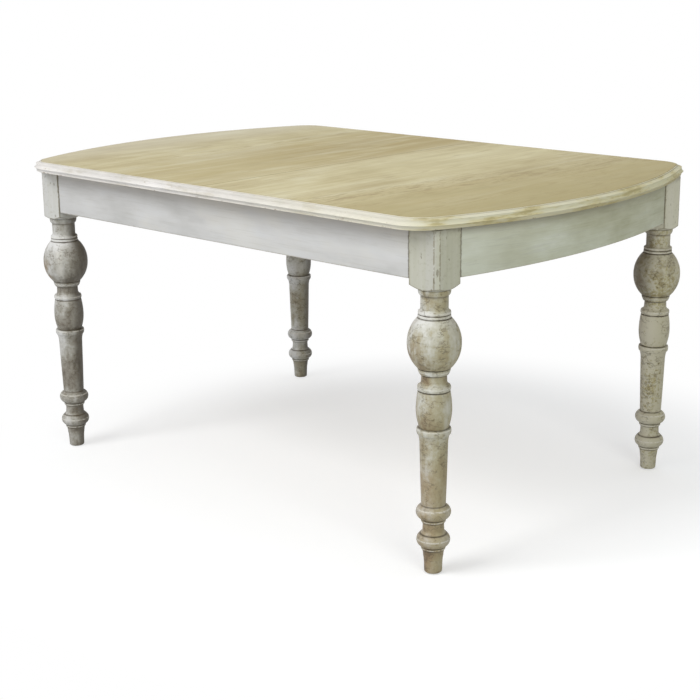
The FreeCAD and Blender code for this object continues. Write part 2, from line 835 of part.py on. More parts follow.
def lock_lever(label, side):
    """A lever that lies across the seam when locked, at rest along the seam. The back one is
    turned over, so that its notch opens the other way."""
    body = new_body("LockLever")
    half = "lever_width / 2"
    notch = "(stud_radius + lock_clearance)"
    quarter_bend = "(1 - cos(45 deg))"
    near = f"(lock_reach - {notch})"
    far = f"(lock_reach + {notch})"
    plan = sketch_on(body, "XY_Plane")
    draw(plan, [
        ("lever_width / 4", "-1 * lever_tail"),
        (half, "lever_width / 4 - lever_tail"),
        (half, f"sqrt({near} * {near} - lever_width * lever_width / 4)",
         f"{near} * (1 - cos(asin({half} / {near}) / 2))"),
        ("0", near, f"-1 * {notch} * {quarter_bend}"),
        (f"-1 * {notch}", "lock_reach", f"-1 * {notch} * {quarter_bend}"),
        ("0", far, f"-1 * {far} * (1 - cos(asin({half} / {far}) / 2))"),
        (half, f"sqrt({far} * {far} - lever_width * lever_width / 4)"),
        (half, f"{far} + lever_nose"),
        (f"lever_nose - {half}", f"{far} + lever_nose"),
        (f"-1 * {half}", far),
        (f"-1 * {half}", "lever_width / 4 - lever_tail"),
        ("-1 * lever_width / 4", "-1 * lever_tail"),
    ])
    pad(body, plan, "lever_thickness")
    pocket(body, circle(sketch_on(body, "XY_Plane", "lever_thickness"), "stud_radius + shaft_clearance"))
    turn = Rotation(Vector(1, 0, 0), 180) if side > 0 else None
    low = "lever_top" if side > 0 else "lever_top - lever_thickness"
    return node(place(body, "-1 * lock_offset", f"{side} * lock_place", low, turn), label)


node(group(headed_stud("-1 * lock_offset", -1), headed_stud("-1 * lock_offset", 1)), "lock_pivots")
node(group(headed_stud("stud_place", -1), headed_stud("stud_place", 1)), "lock_studs")
lock_lever("front_lock_lever", -1)
lock_lever("back_lock_lever", 1)

# The spare leaf, lying lengthwise on the bearers.
leaf_size = ("table_width - 2 * edge_width", "leaf_width", "top_thickness")
node(block(leaf_size, "0", "0", "bearer_top"), "extension_leaf")


def leaf_lipping(label, turned_round):
    """The moulded end of the leaf, which continues the table's edge."""
    body = new_body("LeafLipping")
    profile = sketch_on(body, "XZ_Plane")
    tip = "table_width / 2"
    top = "bearer_top + top_thickness"
    points = [(f"{tip} - edge_width", "bearer_top")]
    for high, inset in EDGE_SHARES:
        points.append((f"{tip} - {inset} * edge_width", f"bearer_top + {high} * top_thickness"))
    points.append((f"{tip} - {BEAD_SHARE} * edge_width", top))
    points.append((f"{tip} - edge_width", top))
    draw(profile, points)
    pad(body, profile, "leaf_width", midplane=True)
    return node(half_turn(body) if turned_round else body, label)


leaf_lipping("leaf_right_lipping", False)
leaf_lipping("leaf_left_lipping", True)

# Nothing is written unless every object and every piece is sound.
doc.recompute()
faults = [item.Name for item in doc.Objects if "Invalid" in item.State or "Error" in item.State]
faults += [part.Label for part in parts if part.Shape.isNull() or not part.Shape.isValid()]
if faults:
    raise RuntimeError("These are not sound: " + ", ".join(faults))
os.makedirs("parts", exist_ok=True)
for part in parts:
    part.Shape.exportStep(f"parts/{part.Label}.step")
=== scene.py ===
import math

import bmesh
import bpy
from mathutils import Matrix, Vector


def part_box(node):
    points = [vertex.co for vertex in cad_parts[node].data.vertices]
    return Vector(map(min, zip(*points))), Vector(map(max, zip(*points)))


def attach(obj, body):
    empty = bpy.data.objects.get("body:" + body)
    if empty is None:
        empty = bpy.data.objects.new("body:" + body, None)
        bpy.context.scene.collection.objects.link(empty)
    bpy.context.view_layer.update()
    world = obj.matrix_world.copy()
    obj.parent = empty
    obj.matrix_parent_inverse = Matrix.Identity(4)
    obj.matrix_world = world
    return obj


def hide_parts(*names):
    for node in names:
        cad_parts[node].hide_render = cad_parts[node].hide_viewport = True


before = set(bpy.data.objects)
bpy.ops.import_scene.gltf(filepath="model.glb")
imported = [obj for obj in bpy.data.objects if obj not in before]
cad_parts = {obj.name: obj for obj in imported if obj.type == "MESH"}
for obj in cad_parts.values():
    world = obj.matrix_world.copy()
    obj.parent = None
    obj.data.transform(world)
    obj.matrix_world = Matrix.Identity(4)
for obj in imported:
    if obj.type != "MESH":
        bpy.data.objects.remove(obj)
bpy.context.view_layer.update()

# Extending dining table with bowed ends and four turned legs. Z is up from the floor, X along
# the table and Y across it, with the front towards -Y. Named sizes and the tables of the shapes
# are millimetres, which MM turns into metres. The finishes, lamps and camera are in metres.
MM = 0.001


# Sizes and places, read off the frame where a piece of it gives them.

def span(node):
    """The lowest and highest corners of a piece of the frame, in millimetres."""
    return [[round(part / MM, 2) for part in corner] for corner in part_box(node)]


def middle(node):
    """The middle of a piece of the frame, in millimetres."""
    low, high = span(node)
    return [round((start + end) / 2, 2) for start, end in zip(low, high)]


(RAIL_START, RAIL_INNER, APRON_LOW), (RAIL_END, RAIL_OUTER, APRON_HIGH) = span("back_apron")
(SEAM, _, TOP_LOW), (_, HALF_WIDTH, TOP_HIGH) = span("right_top_edge")
PANEL_INSET = HALF_WIDTH - span("right_top_panel")[1][1]
LEG_FACE = (RAIL_END, span("right_end_apron")[1][1])   # the blocks' faces that the aprons meet
BLOCK = 74.0
LEG_AT = (LEG_FACE[0] + BLOCK / 2, LEG_FACE[1] + BLOCK / 2)
TURNED_TOP = 618.0
LEAF_HALF = span("extension_leaf")[1][1]
STORED = TOP_HIGH - span("extension_leaf")[1][2]   # how far the stored leaf lies below the top
TIGHT, TIGHTER = 0.00001, 0.000005   # metres within which two places are taken for one


def tint(red, green, blue):
    """A colour as it is read off a swatch, 0 to 255, made linear for the shaders."""
    parts = []
    for level in (red / 255, green / 255, blue / 255):
        parts.append(level / 12.92 if level <= 0.04045 else ((level + 0.055) / 1.055) ** 2.4)
    return (*parts, 1)


# Finishes.

class Value:
    """A socket of a finish's node tree. Sums on it add their own Math nodes."""

    def __init__(self, finish, socket):
        self.finish = finish
        self.socket = socket

    def sum(self, operation, *terms):
        """What a Math node makes of values or numbers."""
        return self.finish.node("ShaderNodeMath", {"operation": operation}, dict(enumerate(terms)))

    def __add__(self, other):
        return self.sum("ADD", self, other)

    def __radd__(self, other):
        return self.sum("ADD", other, self)

    def __sub__(self, other):
        return self.sum("SUBTRACT", self, other)

    def __rsub__(self, other):
        return self.sum("SUBTRACT", other, self)

    def __mul__(self, other):
        return self.sum("MULTIPLY", self, other)

    def __rmul__(self, other):
        return self.sum("MULTIPLY", other, self)

    def __truediv__(self, other):
        return self.sum("DIVIDE", self, other)

    def __pow__(self, other):
        return self.sum("POWER", self, other)

    def __abs__(self):
        return self.sum("ABSOLUTE", self)

    def over(self, other):
        """The larger of two values."""
        return self.sum("MAXIMUM", self, other)

    def under(self, other):
        """The smaller of two values."""
        return self.sum("MINIMUM", self, other)


class Finish:
    """A material, or the world, and the nodes that paint it."""

    def __init__(self, name, owner=None):
        self.owner = owner or bpy.data.materials.new(name)
        self.owner.use_nodes = True
        self.tree = self.owner.node_tree
        self.tree.nodes.clear()
        self.spot = None if owner else self.node("ShaderNodeTexCoord", output="Object")

    def node(self, kind, settings=None, inputs=None, output=0):
        """Any node: its settings first, then the values or links of its sockets."""
        item = self.tree.nodes.new(kind)
        for name, value in (settings or {}).items():
            if name == "stops":
                elements = item.color_ramp.elements
                for place, colour in value[2:]:
                    elements.new(place)
                for element, (place, colour) in zip(elements, value):
                    element.position = place
                    element.color = colour
            else:
                setattr(item, name, value)
        for name, value in (inputs or {}).items():
            if isinstance(value, Value):
                self.tree.links.new(value.socket, item.inputs[name])
            else:
                item.inputs[name].default_value = value
        return Value(self, item.outputs[output])

    def axes(self):
        """X, Y and Z of the place on the piece."""
        return [self.node("ShaderNodeSeparateXYZ", inputs={0: self.spot}, output=i) for i in range(3)]

    def mapped(self, stretch, shift=(0, 0, 0)):
        """The place on the piece, drawn out along an axis and shifted."""
        return self.node("ShaderNodeMapping", inputs={
            "Vector": self.spot, "Location": shift, "Scale": stretch})

    def noise(self, stretch, detail=3, roughness=0.5, shift=(0, 0, 0)):
        """Cloudy noise with so many blots to the metre along each axis."""
        return self.node("ShaderNodeTexNoise", {"noise_dimensions": "3D"}, {
            "Vector": self.mapped(stretch, shift), "Scale": 1.0, "Detail": detail,
            "Roughness": roughness})

    def chance(self, value):
        """A different level for each whole number."""
        return self.node("ShaderNodeTexWhiteNoise", {"noise_dimensions": "1D"}, {"W": value})

    def step(self, value, low, high):
        """A soft step from 0 at low to 1 at high."""
        return self.node("ShaderNodeMapRange", {"interpolation_type": "SMOOTHSTEP"}, {
            "Value": value, "From Min": low, "From Max": high})

    def hump(self, value, low, high, soft):
        """1 between low and high, falling softly to 0 outside."""
        return self.step(value, low - soft, low + soft) * (1 - self.step(value, high - soft, high + soft))

    def ramp(self, value, *stops):
        """Colours along a value, their stops in rising order."""
        return self.node("ShaderNodeValToRGB", {"stops": stops}, {"Fac": value})

    def mix(self, share, ground, layer):
        """A layer of colour over a ground."""
        return self.node("ShaderNodeMix", {"data_type": "RGBA"}, {0: share, 6: ground, 7: layer}, 2)

    def held(self, name):
        """A value kept on the piece's own points."""
        return self.node("ShaderNodeAttribute", {"attribute_name": name}, output="Fac")

    def coat(self, colour, roughness, height=None, depth=0.0003, strength=0.5, metallic=0.0):
        """The finished surface."""
        inputs = {"Base Color": colour, "Roughness": roughness, "Metallic": metallic}
        if height is not None:
            inputs["Normal"] = self.node("ShaderNodeBump", inputs={
                "Strength": strength, "Distance": depth, "Height": height})
        self.end(self.node("ShaderNodeBsdfPrincipled", inputs=inputs))
        return self.owner

    def seen(self):
        """1 for a ray from the camera, straight or by way of a mirror or a clear thing."""
        level = self.node("ShaderNodeLightPath", output="Is Camera Ray")
        for ray in ("Is Glossy Ray", "Is Transmission Ray"):
            level = level.over(self.node("ShaderNodeLightPath", output=ray))
        return level

    def end(self, skin, kind="ShaderNodeOutputMaterial"):
        """Gives the finish its last node."""
        output = self.tree.nodes.new(kind)
        self.tree.links.new(skin.socket, output.inputs["Surface"])


def washed_wood(stored=False):
    """Pale wood with a worn limewash, its boards running across the table. The stored leaf
    lies turned by a quarter, and its grain turns with it."""
    f = Finish("washed_leaf" if stored else "washed_wood")
    if stored:
        other_boards = 0.34
        f.spot = f.node("ShaderNodeMapping", inputs={
            "Vector": f.spot, "Rotation": (0, 0, math.pi / 2), "Location": (other_boards, 0, STORED * MM)})
    x, y, z = f.axes()
    rim = f.held("rim")
    drift = f.noise((3.0, 1.3, 3.0), detail=2)
    # Each board has its own rings and tone.
    board_width = 0.112
    first_board = 40.27   # sets where the boards' joints fall, and keeps their numbers above 0
    rings_per_metre = 1100
    run = x / board_width + first_board
    board = run.sum("FLOOR", run)
    across = (run - board - 0.5) * board_width
    luck = f.chance(board)
    luck_two = f.chance(board + 31)
    depth = 0.010 + luck * 0.03 + (y + luck_two * 0.8 - 0.4 + drift * 0.35) * 0.045
    centre = across + (luck_two - 0.5) * 0.07 + (drift - 0.5) * 0.03
    from_heart = (centre * centre + depth * depth) ** 0.5
    rings = from_heart * rings_per_metre + f.noise((50, 3, 50), detail=2) * 2.6
    arches = rings.sum("SINE", rings) * 0.5 + 0.5
    streaks = f.noise((46, 1.9, 46), detail=5, roughness=0.64)
    grain = f.noise((150, 4.2, 150), detail=4, roughness=0.6, shift=(2, 5, 0))
    clouds = f.noise((4.6, 2.6, 4.6), detail=4, roughness=0.6)
    blots = f.noise((11, 5, 11), detail=4, roughness=0.62, shift=(6, 1, 0))
    level = streaks * 0.26 + clouds * 0.44 + blots * 0.30 + (luck - 0.5) * 0.06
    ground = f.ramp(level, (0.38, tint(164, 150, 103)), (0.46, tint(180, 168, 124)),
                    (0.54, tint(194, 184, 143)), (0.63, tint(206, 200, 169)))
    # Browner left of the seam, tan and knotty towards the right end.
    back_half = 0.5 + f.step(y, -0.35, 0.25) * 0.5
    brown = f.hump(x, -0.36, -0.012, 0.06) * f.step(clouds + (streaks - 0.5) * 0.8, 0.34, 0.60) * back_half
    ground = f.mix(brown * 0.86, ground, tint(157, 138, 78))
    band = x - y * 0.16
    tan = f.step(band, 0.34, 0.50) * f.step(streaks * 0.5 + blots * 0.5, 0.42, 0.60)
    ground = f.mix(tan * 0.62, ground, tint(168, 149, 97))
    knots = f.noise((70, 13, 70), detail=4, roughness=0.62)
    knotty = f.hump(band, 0.36, 0.50, 0.035) * f.step(knots, 0.50, 0.62)
    ground = f.mix(knotty * 0.60, ground, tint(138, 118, 74))
    flecks = f.step(f.noise((190, 55, 190), detail=3), 0.56, 0.64) * f.step(band, 0.26, 0.44)
    ground = f.mix(flecks * f.step(blots, 0.42, 0.56) * 0.42, ground, tint(136, 116, 68))
    # Open pores along the rings, fine grain, and wash left in the hollows.
    open_pores = f.noise((14, 1.3, 14), detail=3, shift=(3, 0, 0))
    lines = f.step(arches, 0.70, 0.97) * f.step(open_pores, 0.45, 0.58)
    ground = f.mix(lines * 0.40, ground, tint(142, 122, 80))
    ground = f.mix(f.step(grain, 0.50, 0.66) * 0.36, ground, tint(154, 136, 92))
    white = f.step(f.noise((30, 2.4, 30), detail=4, roughness=0.6, shift=(0, 4, 0)), 0.52, 0.68)
    ground = f.mix(white * 0.24, ground, tint(214, 210, 180))
    # Olive at the right end, paler right of the seam, greyer at the left end.
    ground = f.mix(f.step(x, 0.22, 0.74) * 0.72, ground, tint(149, 136, 82))
    ground = f.mix(f.hump(x, 0.06, 0.30, 0.06) * f.step(y, -0.28, 0.0) * 0.28, ground, tint(213, 206, 164))
    ground = f.mix(f.step(0 - x, 0.46, 0.72) * 0.44, ground, tint(203, 197, 180))
    # The joint line, the grime along the rim, and bare wood below the upper face.
    seam = 1 - f.step(abs(x), 0.0012, 0.0030)
    ground = f.mix(seam * 0.35, ground, tint(120, 100, 64))
    ground = f.mix(rim * 0.62, ground, tint(104, 90, 58))
    below = 1 - f.step(z, (TOP_HIGH - 2.5) * MM, (TOP_HIGH - 0.8) * MM)
    bare = f.ramp(streaks, (0.35, tint(170, 140, 98)), (0.68, tint(205, 178, 134)))
    ground = f.mix(below, ground, bare)
    height = grain * 0.6 + arches * 0.15 + streaks * 0.4
    return f.coat(ground, 0.50 + streaks * 0.16, height, 0.0004, 0.35)


def edge_paint(stored=False):
    """Off-white paint over wood, rubbed through on the moulding, most at the right end, with painted light
    and shade on it.
    """
    f = Finish("leaf_edge_paint" if stored else "edge_paint")
    if stored:
        f.spot = f.node("ShaderNodeMapping", inputs={"Vector": f.spot, "Location": (0, 0, STORED * MM)})
    x, y, z = f.axes()
    lines = f.held("lines")
    clouds = f.noise((8, 8, 24), detail=4, roughness=0.6)
    smears = f.noise((9, 9, 70), detail=4, roughness=0.62, shift=(4, 1, 6))
    spots = f.noise((70, 70, 110), detail=4, roughness=0.65)
    end = f.step(x, 0.56, 0.68)
    far = f.step(y, -0.36, 0.30) * end
    ground = f.ramp(clouds, (0.34, tint(203, 200, 196)), (0.64, tint(222, 219, 216)))
    # Warmer to the right. Olive at the right end, painted light from the lamp at the right, and darker at its
    # back as painted shade.
    ground = f.mix(f.step(x, -0.1, 0.60) * 0.62, ground, tint(207, 203, 180))
    ground = f.mix(end * (0.46 + far * 0.26), ground, tint(203, 202, 162))
    # Painted shade: the moulding's upper face, brightest under the light from above, is darkened.
    high = f.step(z, (TOP_HIGH - 9) * MM, (TOP_HIGH - 2) * MM)
    ground = f.mix(high * 0.24, ground, tint(186, 182, 172))
    ground = f.mix(f.step(smears, 0.42, 0.62) * (0.06 + 0.58 * end), ground, tint(180, 167, 102))
    ground = f.mix(f.step(smears + spots * 0.2, 0.64, 0.73) * (0.16 + end * 0.34), ground, tint(148, 134, 90))
    # Darker and tan low on the moulding, partly painted shade under its nose, most at the right end and its
    # back.
    low = 1 - f.step(z, (TOP_LOW + 2.5) * MM, (TOP_LOW + 11) * MM)
    ground = f.mix(low * (0.08 + 0.30 * end + 0.20 * far), ground, tint(146, 134, 94))
    # More painted shade across the back of the right end.
    ground = f.mix(far * 0.22, ground, tint(158, 150, 104))
    specks = f.step(spots, 0.64, 0.71) * f.step(clouds, 0.40, 0.58)
    ground = f.mix(specks * 0.5, ground, tint(146, 128, 94))
    ground = f.mix(f.step(lines, 0.3, 0.9) * (0.3 + end * 0.2), ground, tint(226, 222, 200))
    ground = f.mix(f.step(0 - lines, 0.10, 0.75) * (0.46 + end * 0.24), ground, tint(120, 106, 76))
    lip = f.step((TOP_LOW + 3) * MM - z, 0.0, 0.002)
    chips = f.step(spots, 0.58, 0.64) * f.step(clouds, 0.46, 0.55) * lip
    ground = f.mix(chips * 0.8, ground, tint(112, 94, 66))
    return f.coat(ground, 0.52 + spots * 0.18, spots * 0.5 + clouds * 0.5, 0.0003, 0.30)


def apron_paint():
    """Cool grey-white paint on the aprons, brushed along them, with a painted shadow under the top and
    painted light on the bowed ends.
    """
    f = Finish("apron_paint")
    x, y, z = f.axes()
    post_x, post_y = (face * MM for face in LEG_FACE)
    end = f.step(abs(x), post_x + 0.016, post_x + 0.056)
    along = f.noise((4.5, 4.5, 30), detail=4, roughness=0.6)
    brushed = f.noise((9, 9, 240), detail=3, roughness=0.6)
    clouds = f.noise((5, 5, 9), detail=4, roughness=0.58, shift=(7, 2, 1))
    spots = f.noise((130, 130, 130), detail=3, roughness=0.6)
    ground = f.ramp(clouds * 0.62 + along * 0.38, (0.36, tint(179, 179, 177)), (0.49, tint(194, 194, 193)),
                    (0.64, tint(202, 204, 206)))
    ground = f.mix(f.step(clouds, 0.48, 0.64) * 0.35, ground, tint(200, 196, 184))
    # The bowed aprons take a green tint and are paler towards the front and darker towards the back, painted
    # light and shade as from the lamp at the right.
    tone = along * 0.32 + clouds * 0.46 + brushed * 0.22 + y * -0.10
    green = f.ramp(tone, (0.34, tint(150, 150, 116)), (0.45, tint(174, 176, 148)),
                   (0.55, tint(190, 194, 172)), (0.66, tint(212, 216, 204)))
    green = f.mix(f.step(0 - y, 0.05, 0.36) * 0.42, green, tint(206, 210, 196))
    ground = f.mix(end * 0.92, ground, green)
    ground = f.mix(f.step(brushed, 0.52, 0.66) * (0.12 + end * 0.10), ground, tint(140, 138, 120))
    # Painted shadow under the top, a rubbed lower arris, and dark joints beside the blocks.
    under = f.step(z + (along - 0.5) * 0.02, (TOP_LOW - 29) * MM, TOP_LOW * MM)
    ground = f.mix(under * (0.24 + end * 0.26), ground, tint(126, 122, 106))
    rubbed = f.step((APRON_LOW + 3.5) * MM - z + (spots - 0.5) * 0.006, 0.0, 0.003)
    ground = f.mix(rubbed * 0.5, ground, tint(160, 150, 124))
    ragged = (spots - 0.5) * 0.006
    rail_joint = f.step(abs(x) + ragged, post_x - 0.0045, post_x - 0.0015) * (1 - end)
    joint = rail_joint + end * f.step(abs(y) + ragged, post_y - 0.0045, post_y - 0.0015)
    ground = f.mix(joint * 0.80, ground, tint(88, 80, 62))
    dents = f.step(spots, 0.70, 0.76) * f.step(clouds, 0.42, 0.6)
    ground = f.mix(dents * 0.45, ground, tint(140, 132, 116))
    return f.coat(ground, 0.50 + along * 0.16, along * 0.5 + brushed * 0.3 + spots * 0.3, 0.0006, 0.35)


def leg_paint():
    """Chalky paint on the turned legs, whole on the blocks and rubbed through olive to brown wood lower down,
    greyer on the left legs, with dirt and painted shade in the grooves, painted highlights on the crests,
    and painted light and shade on the sides by the way they face."""
    f = Finish("leg_paint")
    x, y, z = f.axes()
    lines, worn, east, north = (f.held(name) for name in ("lines", "worn", "east", "north"))
    clouds = f.noise((15, 15, 10), detail=4, roughness=0.55)
    patches = f.noise((34, 34, 22), detail=4, roughness=0.62, shift=(5, 3, 8))
    streaks = f.noise((78, 78, 6), detail=4, roughness=0.6)
    spots = f.noise((150, 150, 150), detail=4, roughness=0.65)
    weave = f.noise((24, 24, 52), detail=5, roughness=0.62, shift=(1, 9, 4))
    rings = f.noise((2, 2, 420), detail=2)
    left = f.step(0 - x, 0.40, 0.50)
    back = f.step(y, 0.30, 0.36)
    # How far the paint is worn through, from 0, whole, to 1, brown wood.
    level = worn + (clouds - 0.5) * 1.4 + (patches - 0.5) * 1.0 + (streaks - 0.5) * 0.5 + (spots - 0.5) * 0.55
    right_back = back - back * left
    # The east and west terms make the sides that face that way darker and browner, a painted shade.
    level = level + f.step(east, 0.2, 0.95) * 0.10 - right_back * f.step(z, 0.45, 0.42) * 0.48
    level = level + left * (0.02 - back * 0.26) - right_back * 0.18 - 0.04
    level = level + (spots - 0.5) * right_back * 3.0 + f.step(0 - east, 0.1, 0.9) * 0.06
    # Olive and brown on the right legs, greyer on the left ones.
    ground = f.ramp(level, (0.0, tint(210, 210, 206)), (0.28, tint(187, 186, 175)),
                    (0.46, tint(169, 163, 142)), (0.64, tint(150, 140, 112)), (0.84, tint(126, 110, 83)),
                    (1.0, tint(90, 78, 58)))
    ground = f.mix(f.step(0.27 - z, 0.0, 0.06) * (1 - back) * 0.34, ground, tint(146, 120, 88))
    ground = f.mix(right_back * 0.46, ground, tint(176, 165, 112))
    # Painted light: olive on the sides facing east, as from the lamp at the right, and pale cool grey on the
    # sides facing west on the right legs, as from the light at the left.
    ground = f.mix(f.step(east, 0.2, 0.95) * 0.40, ground, tint(160, 154, 117))
    ground = f.mix(f.step(0 - east, 0.1, 0.9) * (1 - left) * 0.30, ground, tint(190, 185, 182))
    grey = f.ramp(level, (0.0, tint(206, 206, 205)), (0.30, tint(178, 177, 173)),
                  (0.60, tint(142, 140, 133)), (0.84, tint(116, 112, 104)), (1.0, tint(84, 80, 73)))
    ground = f.mix(left * (0.86 - back * 0.46), ground, grey)
    # On the ball: brown low down, a pale stripe at the left front that is a painted highlight, and dark sides
    # that are painted shade.
    knot = f.hump(z, 0.458, 0.512, 0.010) * f.step(patches, 0.40, 0.56)
    ground = f.mix(knot * f.step(0.30 - east, 0.0, 0.5) * (0.55 + left * 0.2), ground, tint(126, 104, 72))
    aside = east + north
    highlight_stripe = f.hump(aside, -0.42, 0.02, 0.14) * f.hump(z, 0.455, 0.545, 0.012) * left * (1 - back)
    ground = f.mix(highlight_stripe * f.step(streaks, 0.40, 0.56) * 0.5, ground, tint(204, 202, 194))
    shade = f.step(aside, 0.3, 1.38) * (0.10 + left * 0.70)
    shade = shade.over(f.step(0 - aside, 0.1, 1.3) * right_back * f.hump(z, 0.43, 0.64, 0.02) * 0.62)
    ground = f.mix(shade, ground, tint(76, 70, 60))
    stain = f.step(patches, 0.48, 0.60) * right_back * f.hump(z, 0.44, 0.70, 0.03)
    ground = f.mix(stain * 0.30, ground, tint(100, 86, 56))
    # Fine veins, and pits where the paint has crumbled.
    veins = 1 - f.step(abs(weave - 0.5), 0.005, 0.028)
    ground = f.mix(veins * f.step(patches, 0.42, 0.56) * 0.55, ground, tint(86, 76, 58))
    pits = f.step(spots, 0.60, 0.68) * f.step(clouds, 0.42, 0.55)
    ground = f.mix(pits * (0.5 + right_back * 0.3), ground, tint(92, 84, 60))
    # Pale crests, a painted highlight, and grooves darkened by dirt and painted shade.
    ground = f.mix(f.step(lines, 0.1, 0.9) * f.step(spots, 0.40, 0.52) * 0.66, ground, tint(212, 210, 200))
    ground = f.mix(f.step(0 - lines, 0.0, 0.4) * 0.30, ground, tint(108, 98, 78))
    soiled_and_shaded = f.step(0 - lines, 0.1, 0.8) * (0.52 + f.step(patches, 0.42, 0.56) * 0.36)
    ground = f.mix(soiled_and_shaded, ground, tint(74, 66, 50))
    # The block, where the paint is whole but for nicks and rubbed arrises, with a painted shadow under the
    # top.
    bands = f.noise((32, 32, 1.6), detail=3, roughness=0.55, shift=(2, 6, 3))
    whole = f.ramp(bands, (0.30, tint(170, 170, 150)), (0.50, tint(183, 183, 167)),
                   (0.70, tint(196, 195, 188)))
    whole = f.mix(f.step(patches, 0.54, 0.70) * 0.30, whole, tint(158, 155, 132))
    leg_x, leg_y = (place * MM for place in LEG_AT)
    half = BLOCK / 2 * MM
    outward = f.step(abs(y), leg_y + 0.026, leg_y + 0.0365)
    beside = f.hump(abs(x), leg_x + 0.007, leg_x + 0.033, 0.004) * outward
    whole = f.mix(beside * 0.42, whole, tint(198, 197, 197))
    # Painted light and shade on the block: olive on the sides facing east, as from the lamp at the right, and
    # darker sides facing south on the right legs.
    whole = f.mix(f.step(east, 0.3, 0.9) * 0.25, whole, tint(180, 180, 150))
    whole = f.mix(f.step(0 - north, 0.5, 0.9) * (1 - left) * 0.36, whole, tint(170, 170, 160))
    whole = f.mix(left * 0.7, whole, tint(196, 196, 195))
    whole = f.mix(right_back * 0.55, whole, tint(212, 208, 186))
    nicks = f.step(f.noise((85, 85, 42), detail=2, shift=(3, 3, 3)), 0.675, 0.705)
    whole = f.mix(nicks * 0.6, whole, tint(104, 96, 78))
    corner = f.step(f.held("arris"), 0.0, 0.6) * f.step(spots + clouds * 0.4, 0.56, 0.72)
    whole = f.mix(corner * 0.62, whole, tint(112, 104, 80))
    side = abs(abs(x) - leg_x).under(abs(abs(y) - leg_y)) + (spots - 0.5) * 0.010
    whole = f.mix(f.step(side, half - 0.0045, half - 0.0002) * 0.42, whole, tint(122, 116, 92))
    whole = f.mix(f.step(spots, 0.56, 0.66) * 0.30, whole, tint(150, 146, 124))
    # Painted shadow of the top over the block's upper part.
    under = f.step(z + (spots - 0.5) * 0.01, (TOP_LOW - 19) * MM, (TOP_LOW + 0.5) * MM)
    whole = f.mix(under * 0.5, whole, tint(112, 108, 94))
    ground = f.mix(f.step(z, (TURNED_TOP - 0.5) * MM, (TURNED_TOP + 1) * MM), ground, whole)
    return f.coat(ground, 0.52 + spots * 0.16, spots * 0.5 + rings * 0.2 + patches * 0.5, 0.0006, 0.45)


def bare_wood():
    """Unpainted beech for what is out of sight, its grain across the table as the battens run."""
    f = Finish("bare_wood")
    grain = f.noise((95, 3.5, 95), detail=5, roughness=0.6)
    flecks = f.noise((380, 40, 380), detail=2)
    ground = f.ramp(grain, (0.34, tint(176, 142, 98)), (0.50, tint(199, 168, 122)),
                    (0.68, tint(214, 184, 138)))
    ground = f.mix(f.step(flecks, 0.60, 0.68) * 0.3, ground, tint(150, 116, 78))
    return f.coat(ground, 0.55 + grain * 0.15, grain * 0.7 + flecks * 0.3, 0.0004, 0.35)


def plated_steel():
    """Zinc-plated steel of the slides, locks and screws."""
    f = Finish("plated_steel")
    drawn = f.noise((14, 320, 320), detail=3, roughness=0.6)
    clouds = f.noise((24, 24, 24), detail=3)
    ground = f.ramp(clouds, (0.35, tint(168, 170, 172)), (0.66, tint(200, 201, 200)))
    return f.coat(ground, 0.26 + drawn * 0.22, drawn, 0.00008, 0.3, metallic=1.0)


def nylon():
    """White nylon of the pads under the sliding top, and of the pinions."""
    f = Finish("nylon")
    haze = f.noise((160, 160, 160), detail=3)
    ground = f.ramp(haze, (0.35, tint(214, 214, 208)), (0.66, tint(230, 230, 226)))
    return f.coat(ground, 0.38 + haze * 0.15, haze, 0.0001, 0.3)


WASHED = washed_wood()
WASHED_LEAF = washed_wood(stored=True)
LEAF_EDGE = edge_paint(stored=True)
EDGE = edge_paint()
APRON = apron_paint()
LEG = leg_paint()
BARE = bare_wood()
STEEL = plated_steel()
NYLON = nylon()


# Shaping.

class Outline:
    """A line drawn upright through X and Z, by stretches that are straight or bowed."""

    def __init__(self, bm, across, height):
        self.bm = bm
        self.tip = bmesh.ops.create_vert(bm, co=(across * MM, 0, height * MM))["vert"][0]
        self.first = self.tip
        self.edges = []

    def to(self, across, height, bulge=0, facet=1.6):
        """On to a point. A bulge stands out to the right of the way the line is drawn, and its
        facets are about as long as the last value says."""
        start = self.tip.co.copy()
        end = Vector((across * MM, 0, height * MM))
        before = set(self.bm.edges)
        if not bulge:
            self.tip = bmesh.ops.extrude_vert_indiv(self.bm, verts=[self.tip])["verts"][0]
        else:
            chord = end - start
            right = Vector((chord.z, 0, -chord.x)).normalized()
            rise = abs(bulge) * MM
            radius = (chord.length_squared / 4 + rise * rise) / (2 * rise)
            centre = (start + end) / 2 + right * (rise - radius) * math.copysign(1, bulge)
            a, b = start - centre, end - centre
            angle = math.atan2(a.z * b.x - a.x * b.z, a.x * b.x + a.z * b.z)
            steps = max(3, round(abs(angle) * radius / (facet * MM)))
            made = bmesh.ops.spin(self.bm, geom=[self.tip], cent=centre, axis=(0, 1, 0),
                                  angle=angle, steps=steps)
            self.tip = points_of(made["geom_last"])[0]
        self.tip.co = end
        self.edges += [edge for edge in self.bm.edges if edge not in before]
        return self

    def close(self):
        """Joins the end to the start."""
        self.edges.append(self.bm.edges.new((self.tip, self.first)))
        return self


def points_of(shape):
    """The points among points, edges and faces."""
    return [item for item in shape if isinstance(item, bmesh.types.BMVert)]


def since(bm, before):
    """The points made after a set of points was taken."""
    return [v for v in bm.verts if v not in before]


def turn_round(bm, line, steps):
    """Turns a line a full round about the upright axis."""
    bmesh.ops.spin(bm, geom=line, cent=(0, 0, 0), axis=(0, 0, 1), angle=math.tau, steps=steps,
                   use_merge=True)


